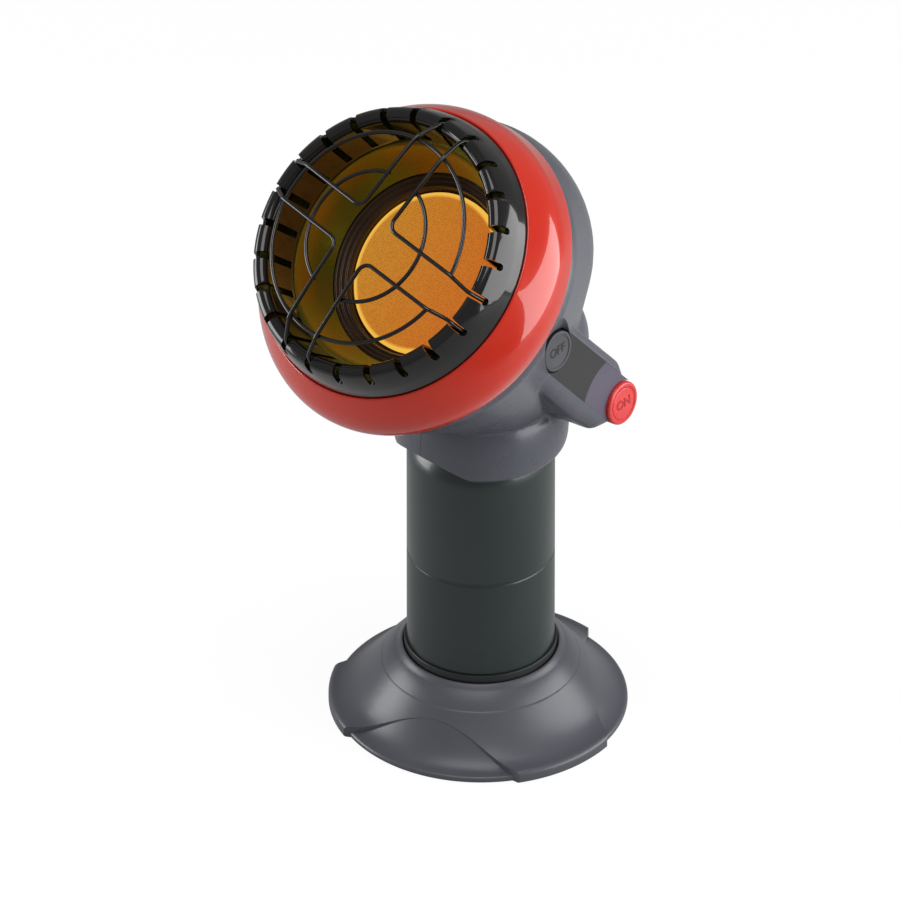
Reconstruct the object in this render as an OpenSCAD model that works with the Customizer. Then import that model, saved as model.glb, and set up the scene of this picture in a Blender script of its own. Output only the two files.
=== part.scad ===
// Portable propane heater: a radiant head that screws onto a fuel cylinder standing in a bell-shaped foot.
// The origin is the centre of the foot's underside. +Z is up and the head looks towards -Y, tilted up.

/* [Foot] */
// Radius of the three raised legs at the rim
leg_r = 101.5; // [99:0.5:106]
// Radius of the sunk panels at the rim
panel_r = 98; // [95:0.5:98.5]
// Height of the rim edge
rim_h = 4; // [3:0.5:7]
// Height of the lip round the socket
lip_z = 48.4; // [44:0.2:50]
// Thickness of the foot's shell
foot_wall = 3; // [2:0.5:4]
// How far the legs stand above the sunk panels at the rim
leg_step = 4.6; // [2:0.2:6]
// Distance from the middle to the inner edge of each sunk panel
panel_edge_r = 71.5; // [66:0.5:76]
// Bend radius of that edge
panel_bend = 300; // [200:10:500]
// Direction of the front sunk panel
panel_dir = -71; // [-90:1:-50]
// Height of the socket's floor
socket_z = 30; // [26:0.5:34]
// Clearance round the cylinder's boot in the socket
boot_gap = 0.5; // [0.3:0.1:1]

/* [Fuel cylinder] */
// Outer radius of the fuel cylinder
tank_r = 49.25; // [47:0.25:50]
// Wall of the fuel cylinder
tank_wall = 1.2; // [0.8:0.1:2]
// Height of the top of the straight wall
tank_shoulder_z = 200.5; // [190:0.5:204]
// Height of the girth weld
weld_z = 125; // [90:1:150]
// Height of the domed shoulder
dome_h = 31; // [26:0.5:34]
// Wall of the boot round the bottom of the cylinder
boot_wall = 1.75; // [1.5:0.05:2.5]
// Height of the top edge of the boot
boot_top_z = 53.5; // [51:0.5:58]
// Radius of the valve's outlet thread
outlet_r = 12.7; // [12:0.1:13.5]
// Height of the outlet above the shoulder dome
outlet_h = 16; // [14:0.5:18]

/* [Head] */
// Height of the point where the head's axis meets the cylinder's axis
pivot_z = 318.6; // [312:0.2:326]
// Upward tilt of the head
head_tilt = 45; // [38:1:50]
// Distance from that point to the front edge of the painted ring
face_t = 116.5; // [112:0.5:120]
// Depth of the painted ring
ring_depth = 43; // [40:0.5:46]
// Radius of the opening in the painted ring
ring_open_r = 99.6; // [98:0.2:101]
// Radius of the painted ring at its widest
ring_wide_r = 113; // [111:0.5:116]
// Distance of the widest place behind the front edge
ring_wide_t = 27; // [20:1:32]
// How far the widest place sags below the head's axis
ring_sag = 3.8; // [0:0.2:6]
// Radius of the painted ring at its rear edge
ring_rear_r = 109.8; // [108.5:0.2:112]
// Wall of the painted ring
ring_wall = 2.4; // [1.8:0.1:3]

/* [Slotted rim] */
// How far the rim stands in front of the painted ring
rim_rise = 26.5; // [22:0.5:30]
// Radius of the middle of the rolled bead
bead_mid_r = 88.6; // [87:0.2:90]
// Radius of the rolled bead's section
bead_r = 5.5; // [5:0.1:6.5]
// Radius of the inner skin at its rear edge
inner_skin_r = 79; // [78:0.2:80]
// Thickness of the rim's skins
rim_wall = 2.2; // [1.6:0.1:2.6]
// Number of slots round the rim
slot_count = 24; // [24:24:48]
// Width of each slot
slot_w = 5; // [3.8:0.2:6]
// Distance of the slots' outer ends in front of the painted ring
slot_end_t = 16; // [14:0.5:18]

/* [Wire guard] */
// Diameter of the guard's wire
wire_d = 3; // [2.4:0.1:3.2]
// Distance of the guard's middle in front of the painted ring
guard_t = 43; // [40:0.5:46]
// Radius of the outer ring wire
guard_outer_r = 72.5; // [70:0.5:74]
// Radius of the inner ring wire
guard_inner_r = 45; // [38:0.5:50]
// Half of the channel between neighbouring wires
channel_half = 13.5; // [11:0.5:14]
// Bend radius at the corner of each wire
wire_bend_r = 7; // [5:0.5:9]
// Roll of the guard about the head's axis
guard_roll = -7.5; // [-7.5:0.5:-7]

/* [Burner] */
// Radius of the ceramic tile
tile_r = 52.6; // [50:0.2:54]
// Thickness of the ceramic tile
tile_thick = 13; // [10:0.5:15]
// Distance of the tile's face behind the front edge of the painted ring
tile_t = 43; // [41:0.5:45]
// Outer radius of the ribbed burner rim
burner_rim_r = 67; // [66:0.2:68]
// Inner radius of the ribbed burner rim
burner_rim_in_r = 57.5; // [56:0.2:58.5]
// Thickness of the reflector sheet
reflector_wall = 1; // [0.8:0.1:1.4]
// Depth of the plenum behind the tile
plenum_depth = 24; // [20:1:26]
// Outer radius of the mixing tube
mixer_r = 9; // [8:0.5:10]

/* [Housing] */
// Wall of the rear housing
shell_wall = 2.6; // [2:0.1:3.2]
// Radius of the housing's rounded back
back_r = 88.5; // [87:0.5:89]
// Distance of the back's centre in front of the cylinder's axis
back_fwd = 20.5; // [18:0.5:22]
// Height of the back's centre
back_z = 372.5; // [370:0.5:374]
// Radius of the housing at its front edge
housing_front_r = 108.4; // [107:0.2:108.6]
// Height of the crease where the neck meets its skirt
crease_z = 251.5; // [249:0.5:254]
// Radius of the neck at the crease
crease_r = 53; // [52:0.5:55]
// Height of the skirt's lower edge
skirt_z = 214; // [211:0.5:218]
// Widest radius of the skirt
skirt_r = 58.4; // [57:0.2:60]
// Height of the arch in the front of the skirt
arch_h = 12; // [8:0.5:14]
// Half of the arch's width
arch_half_w = 36; // [30:1:38]

/* [Control arm] */
// Distance of the stop button's face from the middle plane
arm_x = 83; // [81:0.5:85]
// Place of the stop button along Y
arm_y = -14.5; // [-16:0.5:-12]
// Height of the stop button
arm_z = 328.6; // [326:0.2:331]
// How steeply the arm runs down to the rear
arm_drop = 49.7; // [47:0.1:52]
// How far the arm's face leans back
arm_lean = 7; // [4:0.5:9]
// Distance between the two buttons
button_span = 95; // [92:0.5:98]
// Depth of the arm behind its face
arm_deep = 44; // [42:0.5:46]
// Rounding of the arm's edges
arm_round = 9; // [7:0.5:10]
// Radius of the stop button
off_r = 14.2; // [13:0.1:14.5]
// Radius of the start button
on_r = 15.05; // [14.5:0.05:15.2]
// Radius of the round ends of the sunk label panel
label_r = 15.6; // [15.4:0.1:16]
// How far the label panel is sunk
label_sink = 1; // [0.6:0.1:1.4]
// How far the start button's stem stands back from its middle
stem_back = 9; // [8:0.5:10]
// Gap between the start button and the arm's end
on_gap = 0.5; // [0.4:0.1:0.9]
// Travel of the start button
on_travel = 5; // [3:0.5:5]
// Travel of the stop button
off_travel = 3; // [2:0.5:3]
// Radius of the button stems
stem_r = 3; // [2.5:0.1:3.5]
// Running clearance of stems and threads
running_gap = 0.05; // [0.03:0.01:0.08]

/* [Hidden] */
$fn = 96;

eps = 0.01;
// clearance between pieces that stand close without touching
air = 0.3;
// clearance between the housing's pieces and what lies on them
seat_gap = 0.15;

boot_r = tank_r + boot_wall;
socket_r = boot_r + boot_gap;
bell_start = 47;
dome_top_z = tank_shoulder_z + dome_h;
outlet_top_z = dome_top_z + outlet_h;
tank_bottom_z = socket_z + 2 * air + boot_wall;

rear_t = face_t - ring_depth;
tile_face_t = face_t - tile_t;
tile_back_t = tile_face_t - tile_thick;
plenum_floor_t = tile_back_t - plenum_depth;
injector_t = 4;

// ---------- frames ----------

// Z of this frame is the head's axis, towards the front; Y is up along the face.
module head_frame() translate([0, 0, pivot_z]) rotate([head_tilt, 0, 0]) children();

// X of this frame runs along the arm from the stop button to the start button; Z leaves the arm's face.
module arm_frame() translate([arm_x, arm_y, arm_z]) rotate([90, 0, 90]) rotate([0, 0, -arm_drop])
    rotate([-arm_lean, 0, 0]) children();

// ---------- helpers ----------

// Round tube of radius r along a list of points, one ring of n corners at each point.
function unit(v) = v / norm(v);
function side_of(d) = abs(d[2]) < 0.9 ? unit(cross([0, 0, 1], d)) : unit(cross([1, 0, 0], d));
function path_dir(p, i) = unit(p[min(i + 1, len(p) - 1)] - p[max(i - 1, 0)]);
// the first side direction is carried along the path, so that the rings don't twist
function carried(s, d) = unit(s - (s * d) * d);
function sides(p, i, s) = i >= len(p) ? [] : let(c = carried(s, path_dir(p, i))) concat([c], sides(p, i + 1, c));
function rings(p, r, n) = let(s = sides(p, 0, side_of(path_dir(p, 0))))
    [for (i = [0:len(p) - 1]) let(d = path_dir(p, i), a = s[i], b = cross(d, a))
        for (k = [0:n - 1]) p[i] + r * (cos(360 * k / n) * a + sin(360 * k / n) * b)];
module swept(p, r, n = 8) {
    last = len(p) - 1;
    polyhedron(
        points = rings(p, r, n),
        faces = concat(
            [[for (k = [0:n - 1]) k]],
            [[for (k = [n - 1:-1:0]) last * n + k]],
            [for (i = [0:last - 1]) for (k = [0:n - 1])
                let(a = i * n + k, b = i * n + (k + 1) % n) [a, a + n, b]],
            [for (i = [0:last - 1]) for (k = [0:n - 1])
                let(a = i * n + k, b = i * n + (k + 1) % n) [b, a + n, b + n]]));
}

// Smooth run through a few chosen points, with the given number of steps between neighbours.
function smooth_at(p, i, u) =
    let(a = p[max(i - 1, 0)], b = p[i], c = p[i + 1], d = p[min(i + 2, len(p) - 1)])
    0.5 * (2 * b + (c - a) * u + (2 * a - 5 * b + 4 * c - d) * u * u + (3 * b - a - 3 * c + d) * u * u * u);
function smooth(p, steps) = concat(
    [for (i = [0:len(p) - 2]) for (k = [0:steps - 1]) smooth_at(p, i, k / steps)], [p[len(p) - 1]]);

// ---------- foot ----------

function bell(r, top, rim) = rim + (top - rim) * (1 + cos(180 * (r - bell_start) / (panel_r - bell_start))) / 2;
function panel_z(r) = bell(min(r, panel_r), lip_z, rim_h);
lip_round = 4.5;
bell_steps = 14;
leg_from = 3;
function bell_r_at(i) = socket_r + lip_round + (panel_r - socket_r - lip_round) * i / bell_steps;
// The legs rise out of the bell and reach their full step at the rim.
function leg_rise(i) = i <= leg_from ? -1
    : let(u = (i - leg_from) / (bell_steps - leg_from)) leg_step * u * u * (3 - 2 * u);

module bell_solid() rotate_extrude() polygon(concat(
    [[0, 0], [panel_r, 0], [panel_r, rim_h - 2.2], [panel_r - 0.8, rim_h - 0.6]],
    [for (i = [bell_steps - 1:-1:0]) [bell_r_at(i), panel_z(bell_r_at(i))]],
    [[socket_r + 3, lip_z - 1.1], [socket_r + 1.4, lip_z - 0.2], [socket_r + 0.6, lip_z], [0, lip_z]]));

module leg_ring() rotate_extrude() polygon(concat(
    [[bell_r_at(leg_from), 0], [leg_r, 0], [leg_r, rim_h + leg_step - 3.4], [leg_r - 1, rim_h + leg_step - 1]],
    [for (i = [bell_steps:-1:leg_from]) [bell_r_at(i), panel_z(bell_r_at(i)) + leg_rise(i)]]));

module base_foot() color([0.33, 0.34, 0.37]) {
    rib = 3;
    rib_count = 6;
    hub_r = 12;
    difference() {
        union() {
            bell_solid();
            difference() {
                leg_ring();
                for (i = [0:2]) rotate([0, 0, panel_dir + 120 * i])
                    translate([panel_edge_r + panel_bend, 0, -1]) cylinder(h = lip_z, r = panel_bend, $fn = 360);
            }
        }
        // socket for the boot
        translate([0, 0, socket_z]) cylinder(h = lip_z, r = socket_r);
        // hollow underside
        difference() {
            under_hollow(foot_wall);
            for (i = [0:rib_count - 1]) rotate([0, 0, panel_dir + 30 + i * 360 / rib_count])
                translate([0, -rib / 2, -1]) cube([leg_r, rib, lip_z]);
            translate([0, 0, -1]) cylinder(h = lip_z, r = hub_r);
        }
    }
}

module under_hollow(under) {
    steps = 10;
    r_in = socket_r + foot_wall;
    r_out = panel_r - foot_wall;
    translate([0, 0, -1]) rotate_extrude() polygon(concat(
        [[0, 0], [r_out, 0]],
        [for (i = [steps:-1:0]) let(r = r_in + (r_out - r_in) * i / steps)
            [r, 1 + min(panel_z(r) - under, lip_z - 2 * under)]],
        [[r_in, 1 + socket_z - under], [0, 1 + socket_z - under]]));
}

// ---------- fuel cylinder ----------

module foot_boot() color([0.12, 0.13, 0.14]) {
    floor_z = socket_z + air;
    edge = 1.2;
    rotate_extrude() polygon([
        [0, floor_z], [boot_r - 2, floor_z], [boot_r, floor_z + 2], [boot_r, boot_top_z - edge],
        [boot_r - edge, boot_top_z], [tank_r + seat_gap / 2, boot_top_z], [tank_r + seat_gap / 2, floor_z + boot_wall],
        [0, floor_z + boot_wall]
    ]);
}

function dome_pts(r, h, z, neck_r, n) = [for (i = [0:n]) let(a = i * acos(neck_r / r) / n)
    [r * cos(a), z + h * sin(a) / sin(acos(neck_r / r))]];

module fuel_cylinder() color([0.17, 0.25, 0.24]) {
    neck = 15;
    weld_w = 1.6;
    weld_deep = 0.5;
    foot_round = 5;
    inner_r = tank_r - tank_wall;
    difference() {
        rotate_extrude() polygon(concat(
            [[0, tank_bottom_z], [tank_r - foot_round, tank_bottom_z], [tank_r, tank_bottom_z + foot_round],
             [tank_r, weld_z - weld_w], [tank_r - weld_deep, weld_z], [tank_r, weld_z + weld_w]],
            dome_pts(tank_r, dome_h, tank_shoulder_z, neck, 12),
            [[0, dome_top_z]]));
        rotate_extrude() polygon(concat(
            [[0, tank_bottom_z + tank_wall], [inner_r - foot_round, tank_bottom_z + tank_wall],
             [inner_r, tank_bottom_z + tank_wall + foot_round]],
            dome_pts(inner_r, dome_h - tank_wall, tank_shoulder_z, neck - 3, 12),
            [[0, dome_top_z - tank_wall]]));
        translate([relief_at, 0, relief_z - 1]) cylinder(h = dome_h, r = relief_r + running_gap);
    }
}

core_r = 4.2;
// place and radius of the relief valve, which stands in a bore of the dome
relief_at = 27;
relief_r = 4.6;
relief_z = tank_shoulder_z + dome_h - 9;

module outlet_valve() color([0.75, 0.62, 0.32]) difference() {
    flange_h = 3;
    thread_pitch = 1.27;
    thread_deep = 0.6;
    threads = floor((outlet_h - flange_h - 3) / thread_pitch);
    rotate_extrude() polygon(concat(
        [[0, dome_top_z], [outlet_r + 3.5, dome_top_z], [outlet_r + 3.5, dome_top_z + 1.5],
         [outlet_r - thread_deep, dome_top_z + flange_h]],
        [for (i = [0:threads - 1]) for (p = [[0.2, 0], [0.5, 1], [0.75, 1], [0.98, 0]])
            [outlet_r - thread_deep * (1 - p[1]), dome_top_z + flange_h + (i + p[0]) * thread_pitch]],
        [[outlet_r - thread_deep, outlet_top_z - 1], [outlet_r - 1.5, outlet_top_z], [0, outlet_top_z]]));
    translate([0, 0, dome_top_z + 4]) cylinder(h = outlet_h, r = core_r + running_gap);
}

module valve_core() color([0.72, 0.6, 0.35]) {
    body_h = outlet_h - 6;
    pin_r = 1.2;
    translate([0, 0, dome_top_z + 4]) {
        cylinder(h = body_h - 3, r = core_r, $fn = 32);
        cylinder(h = body_h, r = pin_r, $fn = 24);
    }
}

module relief_valve() color([0.72, 0.6, 0.35]) translate([relief_at, 0, relief_z]) {
    cylinder(h = 12, r = relief_r, $fn = 48);
    cylinder(h = 14, r = 3, $fn = 6);
}

// ---------- gas train above the cylinder ----------

nut_r = outlet_r + 4.3;
nut_bottom_z = outlet_top_z - 10;
seal_h = 2;
reg_base_z = outlet_top_z + seal_h + 0.2;
reg_r = 21;
reg_h = 20;
plate_z = reg_base_z + 3.2;
plate_h = 1.6;
// direction and reach of the regulator's outlet boss
boss_dir = 28;
reg_boss_end = reg_r + 5;

module inlet_seal() color([0.08, 0.08, 0.08]) translate([0, 0, outlet_top_z]) rotate_extrude()
    polygon([[5, 0], [outlet_r - 2.2, 0], [outlet_r - 1.6, seal_h / 2], [outlet_r - 2.2, seal_h], [5, seal_h]]);

module regulator() color([0.7, 0.7, 0.68]) difference() {
    cap_z = plate_z + plate_h;
    union() {
        rotate_extrude() polygon([
            [0, reg_base_z], [outlet_r + running_gap, reg_base_z], [outlet_r + running_gap, nut_bottom_z],
            [nut_r, nut_bottom_z], [nut_r, plate_z - 2], [nut_r + 1, plate_z - 2], [nut_r + 1, cap_z],
            [reg_r, cap_z], [reg_r, cap_z + 8], [reg_r + 2, cap_z + 8], [reg_r + 2, cap_z + 10],
            [reg_r, cap_z + 10], [reg_r - 4, cap_z + reg_h - 6], [0, cap_z + reg_h - 6]
        ]);
        for (i = [0:11]) rotate([0, 0, i * 30]) translate([nut_r - 1, -1.2, nut_bottom_z + 1])
            cube([2, 2.4, reg_base_z - nut_bottom_z - 2]);
        // outlet boss towards the arm
        translate([0, 0, cap_z + 4]) rotate([0, 90, boss_dir]) cylinder(h = reg_boss_end, r = 3.9, $fn = 32);
    }
    translate([0, 0, reg_base_z - 1]) cylinder(h = 7, r = 2.4, $fn = 32);
}

module regulator_plate() color([0.6, 0.61, 0.62]) translate([0, 0, plate_z]) difference() {
    cylinder(h = plate_h, r = crease_r - shell_wall - seat_gap);
    translate([0, 0, -1]) cylinder(h = plate_h + 2, r = nut_r + 1 + seat_gap);
    for (i = [0:5]) rotate([0, 0, 15 + i * 60]) translate([36, 0, -1]) cylinder(h = plate_h + 2, r = 5, $fn = 32);
}

module tip_switch() color([0.15, 0.15, 0.16]) translate([-32, 14, plate_z + plate_h]) {
    translate([-8, -8, 0]) cube([16, 16, 3]);
    cylinder(h = 20, r = 7, $fn = 48);
    translate([0, 0, 20]) cylinder(h = 2, r1 = 7, r2 = 5, $fn = 48);
}

// ---------- head: burner ----------

module revolve_head(pts) head_frame() rotate_extrude() polygon(pts);

module front_ring() color([0.8, 0.16, 0.08]) {
    head_frame() difference() {
        ring_shape(0);
        translate([0, 0, -eps]) ring_shape(ring_wall);
        translate([0, 0, rear_t - 1]) cylinder(h = ring_depth + 2, r = ring_open_r);
        translate([0, 0, rear_t - 2]) cylinder(h = 2, r = ring_wide_r + 9);
    }
}

function ring_k(t) = let(u = t < ring_wide_t ? t / ring_wide_t : 1 - (t - ring_wide_t) / (ring_depth - ring_wide_t))
    sin(90 * max(0, u));
function ring_r_at(t, from_r) = t < ring_wide_t ? from_r + (ring_wide_r - from_r) * sin(90 * t / ring_wide_t)
    : ring_rear_r + (ring_wide_r - ring_rear_r) * cos(90 * (t - ring_wide_t) / (ring_depth - ring_wide_t));

// Solid of the painted ring, shrunk by an inset, from its front edge to its rear edge.
module ring_shape(inset) {
    slices = [0, 3.5, 8, 13, 19, ring_wide_t, 35, ring_depth];
    thin = 0.02;
    hull() for (t = slices)
        translate([0, -ring_sag * ring_k(t), face_t - min(t + (t < 1 ? inset : 0), ring_depth + (inset > 0 ? 1 : 0)) - thin])
            cylinder(h = thin, r = ring_r_at(t, ring_open_r + 1.2) - inset, $fn = 80);
}

// how far the outer skin draws in towards its crease, and where that crease lies
skin_slope = 1.9;
skin_crease_t = 10.5;

// Section of the slotted rim between its two skins, drawn in radius and distance; inset is the skin's thickness.
function rim_section(inset) =
    let(r = bead_r - inset, c = [bead_mid_r, rim_rise - bead_r], back = 4 + (inset > 0 ? 1 : 0))
    concat(
        [[inner_skin_r + inset, -back], [inner_skin_r + inset + 0.3, 0]],
        [for (i = [0:8]) let(a = 190 - i * 20) [c[0] + r * cos(a), c[1] + r * sin(a)]],
        [[ring_open_r - seat_gap - skin_slope - inset, skin_crease_t], [ring_open_r - seat_gap - inset, 0],
         [ring_open_r - seat_gap - inset, -back]]);

module slotted_rim() color([0.06, 0.06, 0.06]) head_frame() difference() {
    translate([0, 0, face_t]) rotate_extrude() difference() {
        polygon(rim_section(0));
        polygon(rim_section(rim_wall));
    }
    for (i = [0:slot_count - 1]) rotate([0, 0, i * 360 / slot_count]) translate([0, 0, face_t]) {
        // through the inner skin and the bead
        translate([inner_skin_r - 3, -slot_w / 2, -2]) cube([bead_mid_r - inner_skin_r + 4, slot_w, rim_rise + 4]);
        // through the outer skin, with a round end
        translate([bead_mid_r - 0.5, -slot_w / 2, slot_end_t + slot_w / 2]) cube([14, slot_w, rim_rise]);
        translate([bead_mid_r - 0.5, 0, slot_end_t + slot_w / 2]) rotate([0, 90, 0])
            cylinder(h = 14, d = slot_w, $fn = 32);
    }
}

// Distance of the guard in front of the painted ring at a radius.
function guard_z(r) = face_t + guard_t - 4.7 * pow(r / guard_outer_r, 2);
guard_over_r = bead_mid_r - 4.4;
guard_over_t = rim_rise + 4.2;
guard_foot_t = slot_end_t + slot_w;

// Inner face of the rim's outer skin: radius and distance where it leaves the bead, and at its crease
skin_end = [bead_mid_r + (bead_r - rim_wall) * cos(30), rim_rise - bead_r + (bead_r - rim_wall) * sin(30)];
skin_crease = [ring_open_r - seat_gap - skin_slope - rim_wall, skin_crease_t];
// Radius of a leg that runs down close to that face
function leg_r_at(t) = skin_end[0] - 1.05 * (wire_d / 2 + air)
    + (skin_crease[0] - skin_end[0]) * (skin_end[1] - t) / (skin_end[1] - skin_crease[1]);
// Point in the middle of a slot, which lies at the guard's roll from the guard's own axis
function slot_point(r, t) = [r * cos(guard_roll), -r * sin(guard_roll), face_t + t];

// Points of one leg, from the bend at the corner through its slot to its foot behind the outer skin.
function leg_points(x0, h) = [
    [x0 + 0.01, h, guard_z(x0)], [(x0 + guard_outer_r) / 2, h, guard_z((x0 + guard_outer_r) / 2)],
    [guard_outer_r - 6, h, guard_z(guard_outer_r - 6)], [guard_outer_r, h - 0.1, guard_z(guard_outer_r) - 0.3],
    [guard_outer_r + 3, h - 0.6, guard_z(guard_outer_r) - 2.2], slot_point(guard_over_r, guard_over_t) + [0, 0.6, 0],
    slot_point(guard_over_r + 3.4, guard_over_t - 3.2), slot_point(leg_r_at(guard_foot_t), guard_foot_t),
    slot_point(leg_r_at(skin_crease_t), skin_crease_t)];
function swapped(p) = [p[1], p[0], p[2]];
function reversed(p) = [for (i = [len(p) - 1:-1:0]) p[i]];

module guard_corner() {
    b = wire_bend_r;
    x0 = channel_half + b;
    leg = leg_points(x0, channel_half);
    bend = [for (i = [1:4]) let(a = 270 - 18 * i) [x0 + b * cos(a), x0 + b * sin(a), guard_z(x0)]];
    swept(concat(reversed(leg), bend, [for (q = leg) swapped(q)]), wire_d / 2);
}

module guard_arc(r, from, to) translate([0, 0, guard_z(r) - wire_d * 0.8]) rotate([0, 0, from])
    rotate_extrude(angle = to - from, $fn = 128) translate([r, 0]) circle(d = wire_d, $fn = 24);

module wire_guard() color([0.05, 0.05, 0.05]) head_frame() rotate([0, 0, guard_roll]) {
    outer_gap = asin(channel_half / guard_outer_r);
    inner_gap = asin(channel_half / guard_inner_r);
    for (q = [0:3]) rotate([0, 0, 90 * q]) guard_corner();
    guard_arc(guard_outer_r, outer_gap, 360 - outer_gap);
    guard_arc(guard_inner_r, -90 + inner_gap, 90 - inner_gap);
    guard_arc(guard_inner_r, 90 + inner_gap, 270 - inner_gap);
}

// Points of the bowl's front side, from its flange to the burner rim.
bowl_steps = 8;
function bowl_r(u) = burner_rim_r - 0.5 + (inner_skin_r - burner_rim_r - 0.5) * cos(90 * u);
function bowl_t(u) = face_t - 5 - (tile_t - 12.5) * u;
pilot_at_r = 73.5;
pilot_dirs = [-52, -41, -30];
pilot_hole_r = 3.4;

module reflector() color([0.55, 0.52, 0.4]) difference() {
    revolve_head(concat(
        [[inner_skin_r + 5, face_t - 5], [inner_skin_r + 5, face_t - 5 - reflector_wall]],
        [for (i = [0:bowl_steps]) let(u = i / bowl_steps) [bowl_r(u) + reflector_wall, bowl_t(u) - reflector_wall]],
        [for (i = [bowl_steps:-1:0]) let(u = i / bowl_steps) [bowl_r(u), bowl_t(u)]]));
    head_frame() for (d = pilot_dirs) rotate([0, 0, d]) translate([pilot_at_r, 0, rear_t])
        cylinder(h = ring_depth, r = pilot_hole_r, $fn = 32);
}

rim_front_t = bowl_t(1) - 0.5;

module burner_rim() color([0.16, 0.15, 0.15]) {
    ribs = 3;
    span = burner_rim_r - burner_rim_in_r;
    drop = 6;
    rib_h = 1.3;
    back_t = tile_back_t + 3;
    revolve_head(concat(
        [[burner_rim_r - 1, rim_front_t - 3], [burner_rim_r - 1, rim_front_t - 0.5]],
        [for (i = [0:ribs - 1]) for (p = [[0.15, 0], [0.35, 1], [0.65, 1], [0.85, 0]])
            let(u = (i + p[0]) / ribs) [burner_rim_r - 1 - (span - 1) * u, rim_front_t - drop * u + rib_h * p[1]]],
        [[burner_rim_in_r, rim_front_t - drop], [burner_rim_in_r, back_t],
         [burner_rim_in_r + 1.6, back_t], [burner_rim_in_r + 1.6, rim_front_t - drop - 3]]));
}

module ceramic_tile() color([0.9, 0.5, 0.12]) revolve_head([
    [0, tile_back_t], [tile_r, tile_back_t], [tile_r, tile_face_t - 1.2], [tile_r - 1.2, tile_face_t],
    [0, tile_face_t]]);

module tile_gasket() color([0.8, 0.78, 0.72]) revolve_head([
    [tile_r, tile_back_t], [burner_rim_in_r - seat_gap, tile_back_t],
    [burner_rim_in_r - seat_gap, tile_back_t + 7], [tile_r, tile_back_t + 7]]);

module plenum() color([0.5, 0.5, 0.52]) {
    w = 1;
    r = burner_rim_in_r;
    revolve_head([
        [mixer_r, plenum_floor_t], [r - 14, plenum_floor_t], [r - 4, plenum_floor_t + 8],
        [r, tile_back_t - 3], [r + 5, tile_back_t - 3], [r + 5, tile_back_t - 3 + w + 2],
        [r + 1.6 + seat_gap, tile_back_t - 3 + w + 2], [r + 1.6 + seat_gap, tile_back_t],
        [r - 3.5, tile_back_t], [r - 3.5, tile_back_t - 2 * w],
        [r - 5 - w, plenum_floor_t + 8.5], [r - 14.5, plenum_floor_t + w], [mixer_r, plenum_floor_t + w]]);
}

mixer_in_t = injector_t + 6;

module mixing_tube() color([0.6, 0.6, 0.6]) difference() {
    w = 1.2;
    revolve_head([
        [mixer_r - running_gap, plenum_floor_t + 5], [mixer_r - running_gap, plenum_floor_t - 0.2],
        [mixer_r + 1.5, plenum_floor_t - 0.2], [mixer_r + 1.5, plenum_floor_t - 1.6],
        [mixer_r - 1.5, plenum_floor_t - 8], [mixer_r - 1.5, mixer_in_t + 10], [mixer_r, mixer_in_t + 5],
        [mixer_r, mixer_in_t - 5],
        [mixer_r - w, mixer_in_t - 5], [mixer_r - w, mixer_in_t + 5], [mixer_r - 1.5 - w, mixer_in_t + 10],
        [mixer_r - 1.5 - w, plenum_floor_t - 8], [mixer_r - w, plenum_floor_t - 1.6], [mixer_r - w, plenum_floor_t + 5]]);
    // air holes
    head_frame() for (a = [0:3]) rotate([0, 0, 45 + 90 * a]) translate([0, 0, mixer_in_t + 2]) rotate([0, 90, 0])
        cylinder(h = mixer_r + 2, r = 2.6, $fn = 32);
}

module injector() color([0.75, 0.62, 0.32]) difference() {
    revolve_head([
        [0, injector_t - 4], [4.5, injector_t - 4], [4.5, injector_t + 1], [mixer_r - 1.2 - running_gap, injector_t + 1],
        [mixer_r - 1.2 - running_gap, injector_t + 4], [4, injector_t + 4], [3, injector_t + 9], [0, injector_t + 9]]);
    head_frame() translate([0, 0, injector_t - 5]) cylinder(h = 12, r = 1.8, $fn = 32);
    head_frame() cylinder(h = 40, r = 0.4, $fn = 24);
}

// ---------- pilot, thermocouple and igniter at the burner's lower side ----------

module at_pilot(i) head_frame() rotate([0, 0, pilot_dirs[i]]) translate([pilot_at_r, 0, 0]) children();

bracket_t = rear_t - 6;

module pilot_bracket() color([0.6, 0.6, 0.62]) head_frame() difference() {
    translate([0, 0, bracket_t]) rotate([0, 0, pilot_dirs[0] - 8])
        rotate_extrude(angle = pilot_dirs[2] - pilot_dirs[0] + 16)
        translate([burner_rim_in_r + 5 + seat_gap, 0]) square([22, 1.6]);
    for (d = pilot_dirs) rotate([0, 0, d]) translate([pilot_at_r, 0, bracket_t - 1])
        cylinder(h = 4, r = 2.5 + seat_gap, $fn = 32);
}

module pilot_burner() color([0.7, 0.6, 0.35]) at_pilot(1) {
    translate([0, 0, bracket_t - 9]) cylinder(h = 30, r = 2.5, $fn = 32);
    translate([0, 0, bracket_t + 1.6]) cylinder(h = 2, r = 4.5, $fn = 6);
    translate([0, 0, bracket_t - 4]) cylinder(h = 4, r = 4.5, $fn = 6);
}

module thermocouple() color([0.72, 0.6, 0.35]) at_pilot(0) {
    translate([0, 0, bracket_t - 6]) cylinder(h = 22, r = 2.5, $fn = 32);
    translate([0, 0, bracket_t + 16]) cylinder(h = 12, r = 1.6, $fn = 32);
    translate([0, 0, bracket_t + 28]) sphere(r = 1.6, $fn = 24);
}

module igniter_electrode() color([0.92, 0.92, 0.9]) at_pilot(2) {
    translate([0, 0, bracket_t - 8]) cylinder(h = 26, r = 2.5, $fn = 32);
    translate([0, 0, bracket_t + 18]) cylinder(h = 8, r = 0.9, $fn = 24);
}

// ---------- housing ----------

// The facets are turned by half a step, so that none of their corners lies in the seam between the halves.
module back_ball(r) translate([0, -back_fwd, back_z]) rotate([0, 0, 3.75]) sphere(r = r, $fn = 48);

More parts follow.
